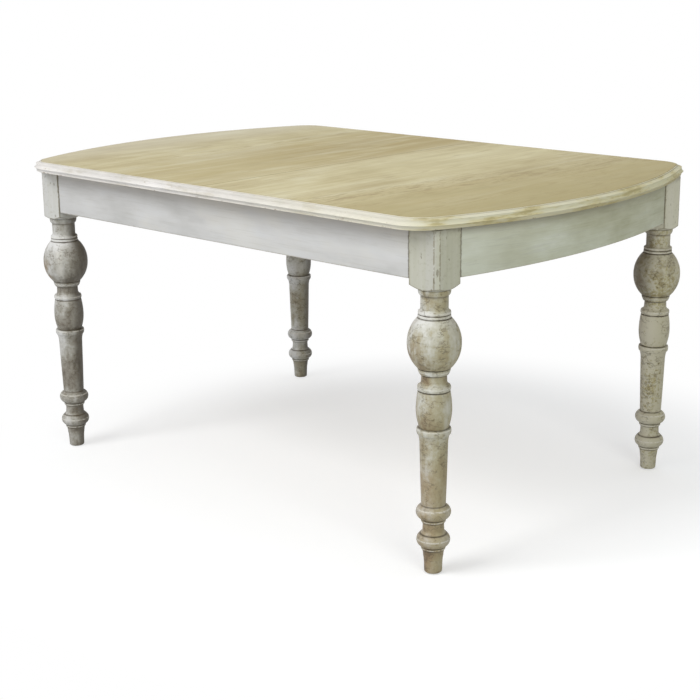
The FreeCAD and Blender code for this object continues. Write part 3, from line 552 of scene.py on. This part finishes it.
def sweep(bm, line, centre=(0, 0), angle=0, steps=1, along=(0, 0, 0)):
    """Carries a line on, round an upright axis or straight along, and gives its far end."""
    made = bmesh.ops.spin(bm, geom=line, cent=(centre[0] * MM, centre[1] * MM, 0), axis=(0, 0, 1),
                          dvec=Vector(along) * MM, angle=math.radians(angle), steps=steps)
    return made["geom_last"]


def merge(bm, reach=TIGHT):
    """Makes one point of those that lie together."""
    bmesh.ops.remove_doubles(bm, verts=bm.verts, dist=reach)


def close_ends(bm):
    """Puts a face in each open end."""
    bmesh.ops.holes_fill(bm, edges=[e for e in bm.edges if len(e.link_faces) == 1])


def soften(bm, edges, width, segments=2):
    """Rounds off arrises."""
    return bmesh.ops.bevel(bm, geom=edges, offset=width * MM, offset_type="OFFSET", segments=segments,
                           profile=0.5, affect="EDGES", material=-1, clamp_overlap=True)


def sharp_edges(bm, degrees=30):
    """Edges where two faces meet at more than an angle."""
    return [e for e in bm.edges if len(e.link_faces) == 2 and e.calc_face_angle(0) > math.radians(degrees)]


def bar(bm, low, high):
    """A squared length of material between two corners."""
    low, high = Vector(low) * MM, Vector(high) * MM
    size = high - low
    place = Matrix.Translation((low + high) / 2) @ Matrix.Diagonal((*size, 1))
    bmesh.ops.create_cube(bm, size=1, matrix=place)


def swing(bm, angle):
    """Turns the whole shape about the upright axis."""
    bmesh.ops.rotate(bm, verts=bm.verts, cent=(0, 0, 0), matrix=Matrix.Rotation(angle, 3, "Z"))


def to_side(bm, side):
    """Shapes are made for the right side, so one for the left is turned half round."""
    if side < 0:
        swing(bm, math.pi)


def stand(bm, points, at, facing):
    """Puts what was drawn upright at a place, turned to the way it faces."""
    turn = Vector(facing).to_track_quat("Z", "Y").to_matrix().to_4x4()
    bmesh.ops.transform(bm, verts=points, matrix=Matrix.Translation(Vector(at) * MM) @ turn)


def made_piece(bm, name, finish, body, stands_for=(), crease=32):
    """Turns a shape into a finished piece that rides on its body."""
    bmesh.ops.recalc_face_normals(bm, faces=bm.faces)
    mesh = bpy.data.meshes.new(name)
    bm.to_mesh(mesh)
    bm.free()
    mesh.shade_smooth()
    mesh.set_sharp_from_angle(angle=math.radians(crease))
    mesh.materials.append(finish)
    piece = bpy.data.objects.new(name, mesh)
    bpy.context.scene.collection.objects.link(piece)
    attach(piece, body)
    if stands_for:
        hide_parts(*stands_for)


def eased(node, body, finish, width):
    """A plain piece of the frame with its arrises rounded off, in its place."""
    bm = bmesh.new()
    bm.from_mesh(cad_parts[node].data)
    merge(bm)
    bmesh.ops.dissolve_limit(bm, angle_limit=math.radians(1), verts=bm.verts, edges=bm.edges)
    soften(bm, sharp_edges(bm), width)
    made_piece(bm, f"{node}_eased", finish, body, (node,))


# Legs.

# The turning upwards from the foot: height, radius, and how far the stretch up to there bulges.
TURNING = (
    (1.6, 17.0, 0), (4.4, 19.2, 0.4), (24, 19.8, 0), (40, 21.6, -0.3), (53, 23.6, -0.3),
    (53.8, 25.2, 0), (59, 25.4, 0.9), (60, 24.2, 0), (60.8, 26.4, 0), (88.4, 28.6, 8.3),
    (89.2, 27.0, 0), (90, 27.8, 0), (99, 23.2, -1.6), (114.6, 23.0, -0.4), (115.4, 25.6, 0),
    (120.8, 25.8, 0.9), (121.8, 24.6, 0), (122.6, 26.2, 0), (152.2, 26.4, 11.0), (153.4, 25.6, 0),
    (157, 26.2, 0.3), (222, 28.2, 0), (288, 29.8, 0), (309.5, 33.4, -0.9), (310.4, 35.2, 0.2),
    (322.4, 35.8, 1.0), (323.6, 30.6, 0), (324.6, 31.0, 0), (368, 37.6, 2.0), (402.4, 33.8, 0.7),
    (403.4, 32.0, 0), (404.2, 33.6, 0), (414.5, 33.8, 1.4), (424.5, 27.0, -2.0), (437.6, 26.4, 0),
    (438.6, 30.0, 0.2), (450.6, 34.2, 0.9), (451.6, 32.8, 0), (452.4, 35.2, 0), (499.5, 56.0, 4.9),
    (557.2, 35.2, 6.6), (558, 33.0, 0), (558.8, 34.0, 0.1), (564.4, 33.7, 0.4), (565.2, 32.6, 0),
    (566, 33.6, 0.1), (571.6, 33.2, 0.5), (576.5, 28.8, -0.8), (603.2, 28.8, 0), (604.2, 29.4, 0),
    (611.5, 33.4, 1.0), (617.2, 33.4, 0.5), (618, 32.0, 0), (618.8, 34.2, 0), (626, 34.0, 0),
)
# How far the paint is rubbed through by height: 0 whole, 1 brown wood.
WEAR = (
    (0, 0.74), (30, 0.70), (44, 0.84), (53, 0.96), (60, 0.52), (74, 0.36), (88, 0.40), (100, 0.66),
    (115, 0.66), (124, 0.50), (138, 0.42), (152, 0.54), (165, 0.72), (200, 0.74), (240, 0.60), (290, 0.46),
    (311, 0.32), (323, 0.26), (326, 0.72), (350, 0.56), (390, 0.44), (402, 0.44), (405, 0.22), (415, 0.32),
    (424, 0.72), (437, 0.82), (440, 0.36), (450, 0.40), (455, 0.76), (475, 0.54), (500, 0.42), (540, 0.32),
    (554, 0.14), (572, 0.12), (577, 0.40), (602, 0.48), (605, 0.42), (620, 0.38),
)
# Heights of the dark lines in the grooves, dirt and painted shade, and of the pale lines on the crests,
# painted highlights.
GROOVES = (53.4, 60.0, 89.2, 115.0, 121.8, 153.4, 323.8, 403.4, 438.0, 451.6, 558.0, 565.2, 603.8, 618.0)
CRESTS = (56.5, 78.0, 118.0, 146.0, 321.0, 411.0, 445.0, 561.5, 569.5, 601.5)
GROOVE_WIDTH, CREST_WIDTH = 2.1, 2.6
TURNING_STEPS = 88
LONG_EDGE = 8.0        # a longer edge of the turning is divided, so that its marks can vary along it
SHOULDER = 36.0        # how far out the block's lower face begins to slope up to its corners
SHOULDER_SLOPE = 8.0 / 16.3   # up by 8 at the corners, which lie 16.3 further out
BLOCK_CHAMFER = 9.0
FACE_MARGIN = 1.6      # the strip along a block's arrises that the face's own values leave out


def level_at(table, height):
    """A level read off a table of heights and levels."""
    for (low, start), (high, end) in zip(table, table[1:]):
        if height <= high:
            return start + (end - start) * max(0, height - low) / (high - low)
    return table[-1][1]


def nearest_line(heights, height, width):
    """1 on one of the lines, falling to 0 beside it."""
    return max(0, 1 - min(abs(height - line) for line in heights) / width)


def turned_part(bm, lines, worn):
    """The turning, with the marks of its grooves, crests and wear, and the points it has."""
    line = Outline(bm, 0, TURNING[0][0])
    for height, radius, bulge in TURNING:
        line.to(radius, height, bulge)
    line.to(0, TURNING[-1][0])
    bmesh.ops.subdivide_edges(bm, edges=[e for e in bm.edges if e.calc_length() > LONG_EDGE * MM], cuts=4)
    for v in bm.verts:
        height = v.co.z / MM
        v[lines] = nearest_line(CRESTS, height, CREST_WIDTH) - nearest_line(GROOVES, height, GROOVE_WIDTH)
        v[worn] = level_at(WEAR, height)
    turn_round(bm, bm.verts[:] + bm.edges[:], TURNING_STEPS)
    merge(bm)
    return set(bm.verts)


def square_block(bm, turned, arris):
    """The block above the turning, with a chamfer on its outer arris and lower corners that
    slope up as the lathe leaves them."""
    half = BLOCK / 2 * MM
    bmesh.ops.create_grid(bm, x_segments=26, y_segments=26, size=half)
    points = since(bm, turned)
    shape = points + [item for item in bm.edges[:] + bm.faces[:] if not turned.intersection(item.verts)]
    outer = half - BLOCK_CHAMFER / 2 * MM
    bmesh.ops.bisect_plane(bm, geom=shape, plane_co=(outer, -outer, 0), plane_no=(1, -1, 0), clear_outer=True)
    for v in since(bm, turned):
        reach = math.hypot(v.co.x, v.co.y) - SHOULDER * MM
        v.co.z = TURNED_TOP * MM + max(0, reach) * SHOULDER_SLOPE
    faces = [face for face in bm.faces if not turned.intersection(face.verts)]
    raised = bmesh.ops.extrude_face_region(bm, geom=faces, use_keep_orig=True)["geom"]
    for v in points_of(raised):
        v.co.z = APRON_HIGH * MM
    bmesh.ops.dissolve_faces(bm, faces=[item for item in raised if isinstance(item, bmesh.types.BMFace)])
    bmesh.ops.recalc_face_normals(bm, faces=bm.faces)
    arrises = [e for e in sharp_edges(bm, 24) if not turned.intersection(e.verts)]
    for v in soften(bm, arrises, 0.9, 3)["verts"]:
        v[arris] = 1.0


def block_sides(bm, turned, least):
    """The block's upright faces that are larger than so many square millimetres."""
    return [f for f in bm.faces if abs(f.normal.z) < 0.1 and not turned.intersection(f.verts)
            and f.calc_area() > least * MM * MM]


def leg(node, quarter, side_x, side_y):
    """A turned leg, made at the front right and turned on by quarters to its corner."""
    bm = bmesh.new()
    lines, worn, arris, east, north = (
        bm.verts.layers.float.new(mark) for mark in ("lines", "worn", "arris", "east", "north"))
    turned = turned_part(bm, lines, worn)
    square_block(bm, turned, arris)
    bmesh.ops.transform(bm, verts=bm.verts, matrix=Matrix.Rotation(math.radians(90 * quarter), 4, "Z"))
    for v in turned:
        v[east], v[north] = v.co.xy.normalized()
    sides = block_sides(bm, turned, 30)
    bmesh.ops.dissolve_limit(bm, angle_limit=math.radians(1), verts=[], delimit={"NORMAL"},
                             edges=[e for e in bm.edges if all(f in sides for f in e.link_faces)])
    sides = block_sides(bm, turned, 300)
    bmesh.ops.inset_individual(bm, faces=sides, thickness=FACE_MARGIN * MM, use_even_offset=True)
    for face in sides:
        for v in face.verts:
            v[arris] = 0.0
            v[east], v[north] = face.normal.xy
    bmesh.ops.translate(bm, verts=bm.verts, vec=(side_x * LEG_AT[0] * MM, side_y * LEG_AT[1] * MM, 0))
    made_piece(bm, f"turned_{node}", LEG, "frame", (node,), 40)


CORNERS = (("front_right", 1, -1), ("back_right", 1, 1), ("back_left", -1, 1), ("front_left", -1, -1))
for quarter, (corner_name, side_x, side_y) in enumerate(CORNERS):
    leg(f"leg_{corner_name}", quarter, side_x, side_y)


def foot_glides():
    """Steel glides under the feet."""
    bm = bmesh.new()
    for x, y in ((-1, -1), (-1, 1), (1, -1), (1, 1)):
        before = set(bm.verts)
        line = Outline(bm, 0, 0)
        line.to(8.5, 0.0).to(10.5, 1.1, 0.3).to(10.5, 2.2).to(0, 2.2)
        turn_round(bm, since(bm, before) + line.edges, 32)
        bmesh.ops.translate(bm, verts=since(bm, before), vec=(x * LEG_AT[0] * MM, y * LEG_AT[1] * MM, 0))
    merge(bm)
    made_piece(bm, "foot_glides", STEEL, "frame")


foot_glides()


# Aprons.

END_CENTRE, END_RADIUS = -929.8, 1633.3   # of the right end apron's outer face
END_SWEEP = 28.8
LOWER_ROUND = 3.0
EASE = 0.8


def long_apron(node, side):
    """A straight apron, its lower arris rounded."""
    bm = bmesh.new()
    ys = sorted((side * RAIL_OUTER, side * RAIL_INNER))
    bar(bm, (RAIL_START, ys[0], APRON_LOW), (RAIL_END, ys[1], APRON_HIGH))
    outer_low = [e for e in bm.edges if all(abs(v.co.y - side * RAIL_OUTER * MM) < TIGHTER
                                            and abs(v.co.z - APRON_LOW * MM) < TIGHTER for v in e.verts)]
    soften(bm, outer_low, LOWER_ROUND, 5)
    soften(bm, sharp_edges(bm, 40), 0.7)
    made_piece(bm, f"painted_{node}", APRON, "frame", (node,))


def end_apron(node, side):
    """A bowed apron between two legs, cut square where it meets their blocks."""
    bm = bmesh.new()
    inner, outer = END_RADIUS - (RAIL_OUTER - RAIL_INNER), END_RADIUS
    line = Outline(bm, inner, APRON_LOW + EASE)
    line.to(inner, APRON_HIGH - EASE).to(inner + EASE, APRON_HIGH, -0.2).to(outer - EASE, APRON_HIGH)
    line.to(outer, APRON_HIGH - EASE, -0.2).to(outer, APRON_LOW + LOWER_ROUND)
    line.to(outer - LOWER_ROUND, APRON_LOW, -0.8).to(inner + EASE, APRON_LOW).close()
    swing(bm, math.radians(-END_SWEEP / 2))
    sweep(bm, bm.verts[:] + bm.edges[:], angle=END_SWEEP, steps=48)
    bmesh.ops.translate(bm, verts=bm.verts, vec=(END_CENTRE * MM, 0, 0))
    cut_at = LEG_FACE[1] * MM
    for way in (-1, 1):
        bmesh.ops.bisect_plane(bm, geom=bm.verts[:] + bm.edges[:] + bm.faces[:],
                               plane_co=(0, way * cut_at, 0), plane_no=(0, way, 0), clear_outer=True)
    close_ends(bm)
    cut = [e for e in sharp_edges(bm, 60) if all(abs(abs(v.co.y) - cut_at) < TIGHT for v in e.verts)]
    soften(bm, cut, 0.6)
    to_side(bm, side)
    made_piece(bm, f"painted_{node}", APRON, "frame", (node,))


long_apron("front_apron", -1)
long_apron("back_apron", 1)
end_apron("right_end_apron", 1)
end_apron("left_end_apron", -1)


# Top.

# Centres of the arcs round a corner and round the bowed end, and how far each turns, in degrees.
CORNER = (583.5, 427.0)
BOW_CENTRE = -415.0
CORNER_TURN = 66.85
BOW_TURN = 46.30

# The moulding's section: how far in from the widest line, how far up from the lower face, and
# how far the stretch up to there bulges.
MOULDING_WIDTH = 17.0
MOULDING = (
    (6.6, 0.0, 0), (5.2, 0.5, 0.2), (0.0, 9.6, 1.7), (4.4, 19.6, 1.7), (13.6, 23.3, 0.7),
    (13.9, 22.5, 0), (14.4, 24.1, 0.2), (15.4, 24.95, 0.25), (16.4, 24.6, 0.25), (17.0, 23.6, 0),
)
MOULDING_FACET = 0.7
MARKS_FROM = 15.0   # no line of the moulding is marked lower than this above the lower face


def moulding_lines(inset, rise):
    """1 on the bead's crest, -1 in the quirk and the joint beside it, and 0 elsewhere."""
    if rise < MARKS_FROM:
        return 0.0
    if 13.2 < inset < 14.3 or inset > 16.7:
        return -1.0
    return 1.0 if inset > 14.6 else 0.0


def moulded_section(bm):
    """The section of the moulding, with its lines marked."""
    lines = bm.verts.layers.float.new("lines")
    line = Outline(bm, MOULDING_WIDTH, TOP_LOW)
    for inset, rise, bulge in MOULDING:
        line.to(inset, TOP_LOW + rise, bulge, MOULDING_FACET)
    line.close()
    for v in bm.verts:
        v[lines] = moulding_lines(v.co.x / MM, v.co.z / MM - TOP_LOW)


def round_the_top(bm, line):
    """Carries a line from the seam along the front, round the bowed end and back to the seam."""
    run = (CORNER[0] - SEAM, 0, 0)
    line = sweep(bm, line, along=run)
    line = sweep(bm, line, (CORNER[0], -CORNER[1]), CORNER_TURN, 18)
    line = sweep(bm, line, (BOW_CENTRE, 0), BOW_TURN, 36)
    line = sweep(bm, line, (CORNER[0], CORNER[1]), CORNER_TURN, 18)
    sweep(bm, line, along=[-step for step in run])
    merge(bm, TIGHTER)


def moulded_edge(side_name, side):
    """Half the moulded edge, with a quirk and a bead next to the panel."""
    bm = bmesh.new()
    moulded_section(bm)
    place = Matrix.Translation((SEAM * MM, -HALF_WIDTH * MM, 0)) @ Matrix.Rotation(math.pi / 2, 4, "Z")
    bmesh.ops.transform(bm, verts=bm.verts, matrix=place)
    round_the_top(bm, bm.verts[:] + bm.edges[:])
    close_ends(bm)
    to_side(bm, side)
    node = f"{side_name}_top_edge"
    made_piece(bm, f"moulded_{node}", EDGE, f"{side_name}_half", (node,), 38)


def top_panel(side_name, side):
    """Half the wooden panel, its upper arris eased and the grime along its rim marked."""
    bm = bmesh.new()
    rim = bm.verts.layers.float.new("rim")
    start = (SEAM * MM, (PANEL_INSET - HALF_WIDTH) * MM, TOP_LOW * MM)
    round_the_top(bm, bmesh.ops.create_vert(bm, co=start)["vert"])
    bmesh.ops.contextual_create(bm, geom=bm.verts[:] + bm.edges[:])
    raised = bmesh.ops.extrude_face_region(bm, geom=bm.faces[:], use_keep_orig=True)["geom"]
    bmesh.ops.translate(bm, verts=points_of(raised), vec=(0, 0, (TOP_HIGH - TOP_LOW) * MM))
    bmesh.ops.recalc_face_normals(bm, faces=bm.faces)
    upper = [e for e in sharp_edges(bm, 60) if all(v.co.z > (TOP_HIGH - 1) * MM for v in e.verts)]
    soften(bm, upper, 0.5)
    flat = [face for face in bm.faces if face.normal.z > 0.99]
    for v in {v for face in flat for v in face.verts}:
        v[rim] = 1.0
    bmesh.ops.inset_region(bm, faces=flat, thickness=1.5 * MM, use_even_offset=True)
    for v in {v for face in flat for v in face.verts}:
        v[rim] = 0.0
    to_side(bm, side)
    node = f"{side_name}_top_panel"
    made_piece(bm, f"washed_{node}", WASHED, f"{side_name}_half", (node,))


for side_name, side in (("left", -1), ("right", 1)):
    moulded_edge(side_name, side)
    top_panel(side_name, side)


# Below the top.

for side_name in ("left", "right"):
    for row in ("inner", "outer"):
        eased(f"{side_name}_{row}_batten", f"{side_name}_half", BARE, 0.8)
    eased(f"{side_name}_bearer", "frame", BARE, 1.0)
for corner_name in ("front_left", "front_right", "back_left", "back_right"):
    eased(f"corner_block_{corner_name}", "frame", BARE, 1.0)
eased("leaf_stops", "frame", BARE, 0.8)
eased("apron_pads", "frame", NYLON, 0.25)
eased("extension_leaf", "frame", WASHED_LEAF, 0.4)


def leaf_lipping(node, side):
    """The moulded end of the leaf, with the table's own section."""
    bm = bmesh.new()
    moulded_section(bm)
    bmesh.ops.scale(bm, verts=bm.verts, vec=(-1, 1, 1))
    bmesh.ops.translate(bm, verts=bm.verts, vec=Vector((HALF_WIDTH, -LEAF_HALF, -STORED)) * MM)
    sweep(bm, bm.verts[:] + bm.edges[:], along=(0, 2 * LEAF_HALF, 0))
    close_ends(bm)
    to_side(bm, side)
    made_piece(bm, f"moulded_{node}", LEAF_EDGE, "frame", (node,), 38)


leaf_lipping("leaf_left_lipping", -1)
leaf_lipping("leaf_right_lipping", 1)

for node, finish in (
    ("front_slide_case", STEEL), ("back_slide_case", STEEL), ("pinion_pins", STEEL),
    ("front_left_slide_bar", STEEL), ("back_left_slide_bar", STEEL), ("left_bar_brackets", STEEL),
    ("front_right_slide_bar", STEEL), ("back_right_slide_bar", STEEL), ("right_bar_brackets", STEEL),
    ("lock_pivots", STEEL), ("lock_studs", STEEL), ("front_pinion", NYLON), ("back_pinion", NYLON),
    ("front_lock_lever", STEEL), ("back_lock_lever", STEEL), ("seam_dowels", BARE),
):
    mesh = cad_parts[node].data
    mesh.materials.clear()
    mesh.materials.append(finish)


def screw_heads(name, body, heads):
    """Screws sunk to their domed heads: each a place and the way its head faces."""
    bm = bmesh.new()
    for at, facing in heads:
        before = set(bm.verts)
        line = Outline(bm, 0, 0.35)
        line.to(1.5, 0.35).to(1.8, 1.35).to(3.2, 0.95, -0.1).to(4.0, 0.0).to(0, -0.4)
        turn_round(bm, since(bm, before) + line.edges, 12)
        stand(bm, since(bm, before), at, facing)
    merge(bm)
    made_piece(bm, name, STEEL, body)


BATTEN_SCREWS_Y = (-340, -170, 0, 170, 340)
BRACKETS_X, BRACKETS_Y = (65, 275), 411
BRACKET_SCREWS = (-15, 15)
BRACKET_FACE = span("right_bar_brackets")[1][2] - 3.0
CASE_SCREWS_X = (-550, -420, -270, -120, 120, 270, 420, 550)
CASE_FACE = span("back_slide_case")[1][1] - 2.0
CASE_HEIGHT = middle("back_slide_case")[2]
STOP_SCREWS_X, STOPS_Y = (288, 312), 234.5
STOP_TOP = span("leaf_stops")[1][2]
BLOCK_FACE = (562.8, 367.8, middle("corner_block_back_right")[2])   # the middle of its inner face
BLOCK_SCREWS = (-44, 44)
DOWN, UP = (0, 0, -1), (0, 0, 1)

for side_name, side in (("left", -1), ("right", 1)):
    heads = []
    for row in ("inner", "outer"):
        batten = f"{side_name}_{row}_batten"
        heads += [((middle(batten)[0], y, span(batten)[0][2]), DOWN) for y in BATTEN_SCREWS_Y]
    for x in BRACKETS_X:
        heads += [((side * (x + nudge), way * BRACKETS_Y, BRACKET_FACE), DOWN)
                  for nudge in BRACKET_SCREWS for way in (-1, 1)]
    screw_heads(f"{side_name}_top_screws", f"{side_name}_half", heads)

frame_heads = []
for way in (-1, 1):
    frame_heads += [((x, way * CASE_FACE, CASE_HEIGHT), (0, -way, 0)) for x in CASE_SCREWS_X]
    for side in (-1, 1):
        frame_heads += [((side * x, way * STOPS_Y, STOP_TOP), UP) for x in STOP_SCREWS_X]
        inward = Vector((-side, -way, 0)).normalized()
        aside = Vector((side, -way, 0)).normalized()
        face = Vector((side * BLOCK_FACE[0], way * BLOCK_FACE[1], BLOCK_FACE[2]))
        frame_heads += [(face + aside * reach, inward) for reach in BLOCK_SCREWS]
screw_heads("frame_screws", "frame", frame_heads)


def hanger_bolts():
    """Bolts that draw the legs against the corner blocks, each with its washer and nut."""
    bm = bmesh.new()
    for side in (-1, 1):
        for way in (-1, 1):
            before = set(bm.verts)
            line = Outline(bm, 0, -31)
            line.to(3.6, -31).to(3.6, 0).to(9.5, 0).to(9.5, 1.4).to(9.0, 1.7).to(3.6, 1.7).to(3.6, 14.2)
            line.to(2.9, 15.0).to(0, 15.0)
            turn_round(bm, since(bm, before) + line.edges, 28)
            nut = bmesh.ops.create_cone(bm, segments=6, radius1=7.5 * MM, radius2=7.5 * MM, depth=6.4 * MM,
                                        cap_ends=True, matrix=Matrix.Translation((0, 0, 5.0 * MM)))["verts"]
            soften(bm, [e for e in sharp_edges(bm, 50) if all(v in nut for v in e.verts)], 0.5)
            stand(bm, since(bm, before), (side * BLOCK_FACE[0], way * BLOCK_FACE[1], BLOCK_FACE[2]),
                  (-side, -way, 0))
    merge(bm)
    made_piece(bm, "hanger_bolts", STEEL, "frame")


hanger_bolts()


# Floor, light and camera.

def backdrop():
    """A white floor that keeps the table's soft shadow and fades to plain white."""
    bm = bmesh.new()
    bmesh.ops.create_grid(bm, x_segments=2, y_segments=2, size=9)
    bmesh.ops.translate(bm, verts=bm.verts, vec=(0, 0, -0.3 * MM))
    mesh = bpy.data.meshes.new("floor")
    bm.to_mesh(mesh)
    bm.free()
    floor = bpy.data.objects.new("floor", mesh)
    bpy.context.scene.collection.objects.link(floor)
    f = Finish("white_floor")
    x, y = f.axes()[:2]
    reach = x - 0.2
    far = f.step((reach * reach + y * y) ** 0.5, 0.68, 1.2)
    pale = f.node("ShaderNodeBsdfDiffuse", inputs={"Color": (0.668, 0.680, 0.690, 1)})
    lift = f.node("ShaderNodeEmission", inputs={"Color": (1, 1, 1, 1), "Strength": 0.42})
    lifted = f.node("ShaderNodeAddShader", inputs={0: pale, 1: lift})
    ground = f.node("ShaderNodeMixShader", inputs={0: f.seen(), 1: pale, 2: lifted})
    glow = f.node("ShaderNodeEmission", inputs={"Color": (1, 1, 1, 1), "Strength": 1.0})
    f.end(f.node("ShaderNodeMixShader", inputs={0: far * f.seen(), 1: ground, 2: glow}))
    mesh.materials.append(f.owner)


backdrop()


def lamp(name, at, aim, size, power, colour=(1, 1, 1)):
    """A soft square lamp at a place, turned to its aim."""
    data = bpy.data.lights.new(name, "AREA")
    data.size = size
    data.energy = power
    data.color = colour
    item = bpy.data.objects.new(name, data)
    item.location = at
    item.rotation_euler = (Vector(aim) - Vector(at)).to_track_quat("-Z", "Y").to_euler()
    bpy.context.scene.collection.objects.link(item)


lamp("key", (-0.9, -3.8, 4.0), (0, 0, 0.5), 2.4, 138, (1.0, 0.99, 0.98))
lamp("side", (3.6, -1.8, 2.3), (0, 0, 0.5), 1.8, 47, (0.99, 1.0, 0.95))
lamp("front", (-0.5, -4.4, 0.9), (0, 0, 0.5), 2.4, 22)
lamp("top", (0.4, 1.0, 4.3), (0.1, 0, 0), 2.0, 20)


def surroundings():
    """An even pale sky, seen by the camera as plain white."""
    world = bpy.data.worlds.new("studio")
    f = Finish("studio", world)
    sky = f.node("ShaderNodeBackground", inputs={"Color": (0.97, 0.98, 1.0, 1), "Strength": 0.44})
    white = f.node("ShaderNodeBackground", inputs={"Color": (1, 1, 1, 1), "Strength": 1.0})
    f.end(f.node("ShaderNodeMixShader", inputs={0: f.seen(), 1: sky, 2: white}), "ShaderNodeOutputWorld")
    bpy.context.scene.world = world


surroundings()


def camera():
    """The photograph's point of view."""
    data = bpy.data.cameras.new("camera")
    data.sensor_width = 36
    data.lens = 74.574
    data.shift_x = -0.0131
    data.shift_y = -0.0103
    data.clip_end = 60
    yaw, pitch, roll = (math.radians(angle) for angle in (42.704, 15.21, -0.495))
    ahead = Vector((-math.sin(yaw) * math.cos(pitch), math.cos(yaw) * math.cos(pitch), -math.sin(pitch)))
    right = Vector((math.cos(yaw), math.sin(yaw), 0))
    up = right.cross(ahead)
    right, up = (math.cos(roll) * right + math.sin(roll) * up, math.cos(roll) * up - math.sin(roll) * right)
    turn = Matrix((right, up, -ahead)).transposed().to_4x4()
    item = bpy.data.objects.new("camera", data)
    item.matrix_world = Matrix.Translation((2.4397, -2.6221, 1.2789)) @ turn
    bpy.context.scene.collection.objects.link(item)
    bpy.context.scene.camera = item


camera()
bpy.context.scene.view_settings.view_transform = "Standard"
